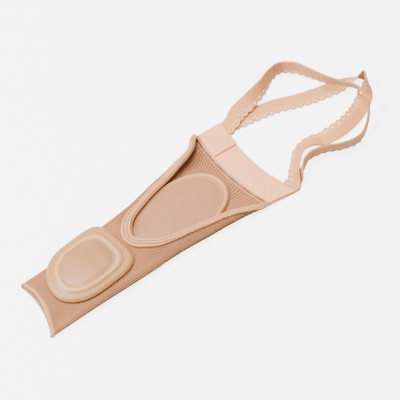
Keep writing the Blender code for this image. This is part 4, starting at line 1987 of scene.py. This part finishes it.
def contour_mesh(depth: Array) -> tuple[Array, list[list[int]], Array]:
    """Cuts a grid along the line where its depth is 0 and keeps what is above it.

    Args:
        depth: the depth at each grid point.

    Returns:
        The kept points in grid units, the faces, and the depth at each point.
    """
    index: dict[tuple[int, int, int], int] = {}
    points: list[tuple[float, float]] = []
    values: list[float] = []

    def corner(i: int, j: int) -> int:
        """The index of a kept grid point.

        Args:
            i: its row.
            j: its column.

        Returns:
            Its index among the kept points.
        """
        key = (0, i, j)
        if key not in index:
            index[key] = len(points)
            points.append((i, j))
            values.append(float(depth[i, j]))
        return index[key]

    def crossing(a: tuple[int, int], b: tuple[int, int]) -> int:
        """The index of the point where the depth is 0 between two grid points.

        Args:
            a: one grid point.
            b: its neighbour.

        Returns:
            Its index among the kept points.
        """
        low, high = sorted((a, b))
        key = (1 if low[0] != high[0] else 2, *low)
        if key not in index:
            share = depth[low] / (depth[low] - depth[high])
            share = min(max(float(share), SLIVER), 1.0 - SLIVER)
            index[key] = len(points)
            points.append((low[0] + share * (high[0] - low[0]), low[1] + share * (high[1] - low[1])))
            values.append(0.0)
        return index[key]

    faces: list[list[int]] = []
    for i in range(depth.shape[0] - 1):
        for j in range(depth.shape[1] - 1):
            ring = [(i, j), (i + 1, j), (i + 1, j + 1), (i, j + 1)]
            face = []
            for a, b in zip(ring, ring[1:] + ring[:1]):
                if depth[a] > 0:
                    face.append(corner(*a))
                if (depth[a] > 0) != (depth[b] > 0):
                    face.append(crossing(a, b))
            if len(face) >= 3:
                faces.append(face)
    return np.array(points, float), faces, np.array(values)


def closed_sheet(name: str, top: Array, low: Array, faces: Sequence[Sequence[int]]) -> Piece:
    """A closed mesh of two like faces, joined along every edge that only one of their polygons has.

    Args:
        name: the piece's name.
        top: points of the upper face.
        low: points of the lower face, in the same order.
        faces: polygons of the upper face.

    Returns:
        The new object.
    """
    count = len(top)
    seen: dict[tuple[int, int], int] = {}
    for face in faces:
        for a, b in zip(face, [*face[1:], face[0]]):
            key = (min(a, b), max(a, b))
            seen[key] = seen.get(key, 0) + 1
    every = [list(face) for face in faces]
    every += [[v + count for v in reversed(face)] for face in faces]
    for face in faces:
        for a, b in zip(face, [*face[1:], face[0]]):
            if seen[(min(a, b), max(a, b))] == 1:
                every.append([b, a, a + count, b + count])
    return fix_facing(mesh_object(name, np.vstack([top, low]), every))


@dataclass(frozen=True)
class SoftLight:
    """A soft round area light, hung at two angles in degrees round the object."""

    name: str
    azimuth: float
    elevation: float
    size: float
    power: float


@dataclass
class Studio:
    """The pale floor, the soft lights and the camera at the photo's angle."""

    azimuth: float = -41.7
    elevation: float = 55.0
    target: tuple[float, float, float] = (0.0200, -0.0016, 0.0)
    frame_width: float = 0.245
    lens: float = 600.0
    sensor: float = 36.0
    floor_reach: float = 5.0
    floor_rise: float = 2.0
    floor_radius: float = 0.5
    floor_half_width: float = 6.0
    floor_drop: float = 0.0002
    floor_tones: tuple[float, float] = (0.52, 0.54)
    # How brightly the floor glows for the camera, and the share that the object gets of it
    floor_glow: float = 4.6
    glow_share: float = 0.05
    air_glow: float = 0.55
    light_distance: float = 1.3
    lights: tuple[SoftLight, ...] = (
        SoftLight("key_light", -122.0, 48.0, 0.5, 30.0),
        SoftLight("top_light", -150.0, 80.0, 0.7, 38.0),
        SoftLight("fill_light", 40.0, 35.0, 1.0, 1.0),
    )

    def direction(self, azimuth: float, elevation: float) -> Vector:
        """The direction from the object to a place round it, angles in degrees."""
        a, e = math.radians(azimuth), math.radians(elevation)
        return Vector((math.sin(a) * math.cos(e), -math.cos(a) * math.cos(e), math.sin(e)))

    def aim(self, thing: Piece, azimuth: float, elevation: float, distance: float) -> None:
        """Places a camera or a light round the object and turns it to the middle of the picture.

        Args:
            thing: the camera or the light.
            azimuth: its angle round the object, in degrees.
            elevation: its angle above the ground, in degrees.
            distance: how far away it stands.
        """
        bpy.context.scene.collection.objects.link(thing)
        back = self.direction(azimuth, elevation)
        thing.location = Vector(self.target) + back * distance
        thing.rotation_euler = (-back).to_track_quat("-Z", "Y").to_euler()

    def build_camera(self) -> None:
        """Places the camera."""
        data = bpy.data.cameras.new("photo_camera")
        data.lens = self.lens
        data.sensor_width = self.sensor
        camera = bpy.data.objects.new("photo_camera", data)
        self.aim(camera, self.azimuth, self.elevation, self.frame_width * self.lens / self.sensor)
        data.clip_start = 0.01
        bpy.context.scene.camera = camera

    def build_floor(self) -> None:
        """Lays the pale floor, curved up at the back as a backdrop."""
        reach, radius = self.floor_reach, self.floor_radius
        bend = np.linspace(0, math.pi / 2, 16)
        profile = [(-reach, 0.0), (reach, 0.0)]
        profile += [(reach + radius * math.sin(a), radius * (1 - math.cos(a))) for a in bend[1:]]
        profile.append((reach + radius, self.floor_rise))
        way = -self.direction(self.azimuth, 0.0)
        across = Vector((way.y, -way.x, 0.0))
        points = [
            tuple(way * run + across * side + Vector((0, 0, height - self.floor_drop)))
            for run, height in profile
            for side in (-self.floor_half_width, self.floor_half_width)
        ]
        faces = [(2 * i, 2 * i + 1, 2 * i + 3, 2 * i + 2) for i in range(len(profile) - 1)]
        floor = mesh_object("floor", np.array(points), faces)
        made, nodes, shader = new_material("pale_floor")
        low, high = (rgba((tone, tone, tone)) for tone in self.floor_tones)
        share = self.glow_share
        seen = nodes.add("ShaderNodeLightPath").outputs["Is Camera Ray"]
        nodes.fill(
            shader,
            Base_Color=nodes.mix(nodes.noise(nodes.place(), 3.0), low, high),
            Roughness=0.9,
            Specular_IOR_Level=0.1,
            Emission_Color=nodes.mix(seen, rgba((share, share, share)), rgba((1.0, 1.0, 1.0))),
            Emission_Strength=self.floor_glow,
        )
        floor.data.materials.append(made)

    def build_light(self, light: SoftLight) -> None:
        """Hangs one light round the object.

        Args:
            light: its name, place, size and power.
        """
        data = bpy.data.lights.new(light.name, "AREA")
        data.shape = "DISK"
        data.size = light.size
        data.energy = light.power
        self.aim(bpy.data.objects.new(light.name, data), light.azimuth, light.elevation, self.light_distance)

    def build(self) -> None:
        """Builds the camera, the floor and the lights."""
        self.build_camera()
        self.build_floor()
        for light in self.lights:
            self.build_light(light)
        world = bpy.data.worlds.new("studio_air")
        world.use_nodes = True
        air = world.node_tree.nodes["Background"]
        air.inputs["Color"].default_value = (1.0, 1.0, 1.0, 1.0)
        air.inputs["Strength"].default_value = self.air_glow
        bpy.context.scene.world = world


@dataclass(frozen=True)
class Finishes:
    """Every finish of the corrector."""

    knit: KnitFinish = KnitFinish(
        "rib_knit_nude", (0.39, 0.158, 0.059), (0.16, 0.055, 0.020), (0.335, 0.134, 0.049)
    )
    hem: WovenFinish = WovenFinish(
        "overlocked_hem", (0.64, 0.28, 0.128), (0.34, 0.135, 0.055), (0.56, 0.235, 0.105), 1.0, 0.8, 0.7
    )
    trim: WovenFinish = WovenFinish(
        "ribbed_trim", (0.66, 0.288, 0.116), (0.34, 0.134, 0.050), (0.58, 0.245, 0.095), 1.0, 1.1, 0.9
    )
    spacer: GelFinish = GelFinish(
        "spacer_gel",
        (0.42, 0.190, 0.067),
        (0.43, 0.193, 0.062),
        (0.58, 0.280, 0.108),
        margin_from=0.80,
        # Painted highlight along the ridge's crest
        highlight_lines=(0.735,),
        highlight_width=0.075,
        ribs_through=1.0,
    )
    sole: GelFinish = GelFinish(
        "sole_gel",
        (0.39, 0.170, 0.062),
        (0.44, 0.195, 0.072),
        (0.54, 0.255, 0.102),
        margin_from=0.86,
        # Painted highlights along the edges of the bevelled margin
        highlight_lines=(0.86, 0.94),
        highlight_width=0.026,
        ribs_through=0.25,
    )
    band: WovenFinish = WovenFinish(
        "flat_elastic_nude",
        (0.94, 0.410, 0.182),
        (0.78, 0.325, 0.140),
        (0.84, 0.355, 0.152),
        ribs=1.1,
        picks=1.4,
        pick_share=0.5,
        bump=0.00006,
    )
    tape: WovenFinish = WovenFinish(
        "strap_elastic_nude",
        (0.80, 0.330, 0.120),
        (0.42, 0.160, 0.055),
        (0.68, 0.270, 0.094),
        ribs=1.0,
        picks=1.3,
        pick_share=0.5,
        bump=0.00011,
    )
    lace: ThreadFinish = ThreadFinish("lace_yarn", (0.84, 0.39, 0.165), (0.50, 0.205, 0.080))
    thread: ThreadFinish = ThreadFinish("sewing_thread", (0.42, 0.170, 0.078), (0.22, 0.080, 0.034))
    # Near-black: the thread's own dark tone together with painted shade of the seam's groove
    dark_thread: ThreadFinish = ThreadFinish("seam_thread", (0.11, 0.038, 0.015), (0.07, 0.024, 0.009))


def main() -> None:
    """Builds every sub-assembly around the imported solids."""
    logging.basicConfig(level=logging.INFO, format="%(message)s")
    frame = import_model()
    LOG.info("solids: %s", ", ".join(sorted(frame["nodes"])))
    finishes = Finishes()
    form = SleeveForm()
    thread = finishes.thread.build()

    Studio().build()
    sleeve = ToeSleeve(form)
    sleeve.build_knit(finishes.knit.build())
    hem = finishes.hem.build()
    sleeve.build_hem(hem)
    sleeve.build_trim(finishes.trim.build())
    sleeve.build_trim_stitches(thread)
    pads = GelPads(form)
    pads.build_spacer(finishes.spacer.build())
    pads.build_inner(finishes.sole.build())
    band = HeelBand(form)
    elastic = finishes.band.build()
    band.build_band(elastic)
    for side in Side:
        band.build_tab(side, elastic)
    band.build_seam(hem)
    band.build_seam_thread(finishes.dark_thread.build())
    band.build_stitches(thread)
    HeelStraps(band).build(finishes.tape.build(), finishes.lace.build())


if __name__ == "__main__":
    main()
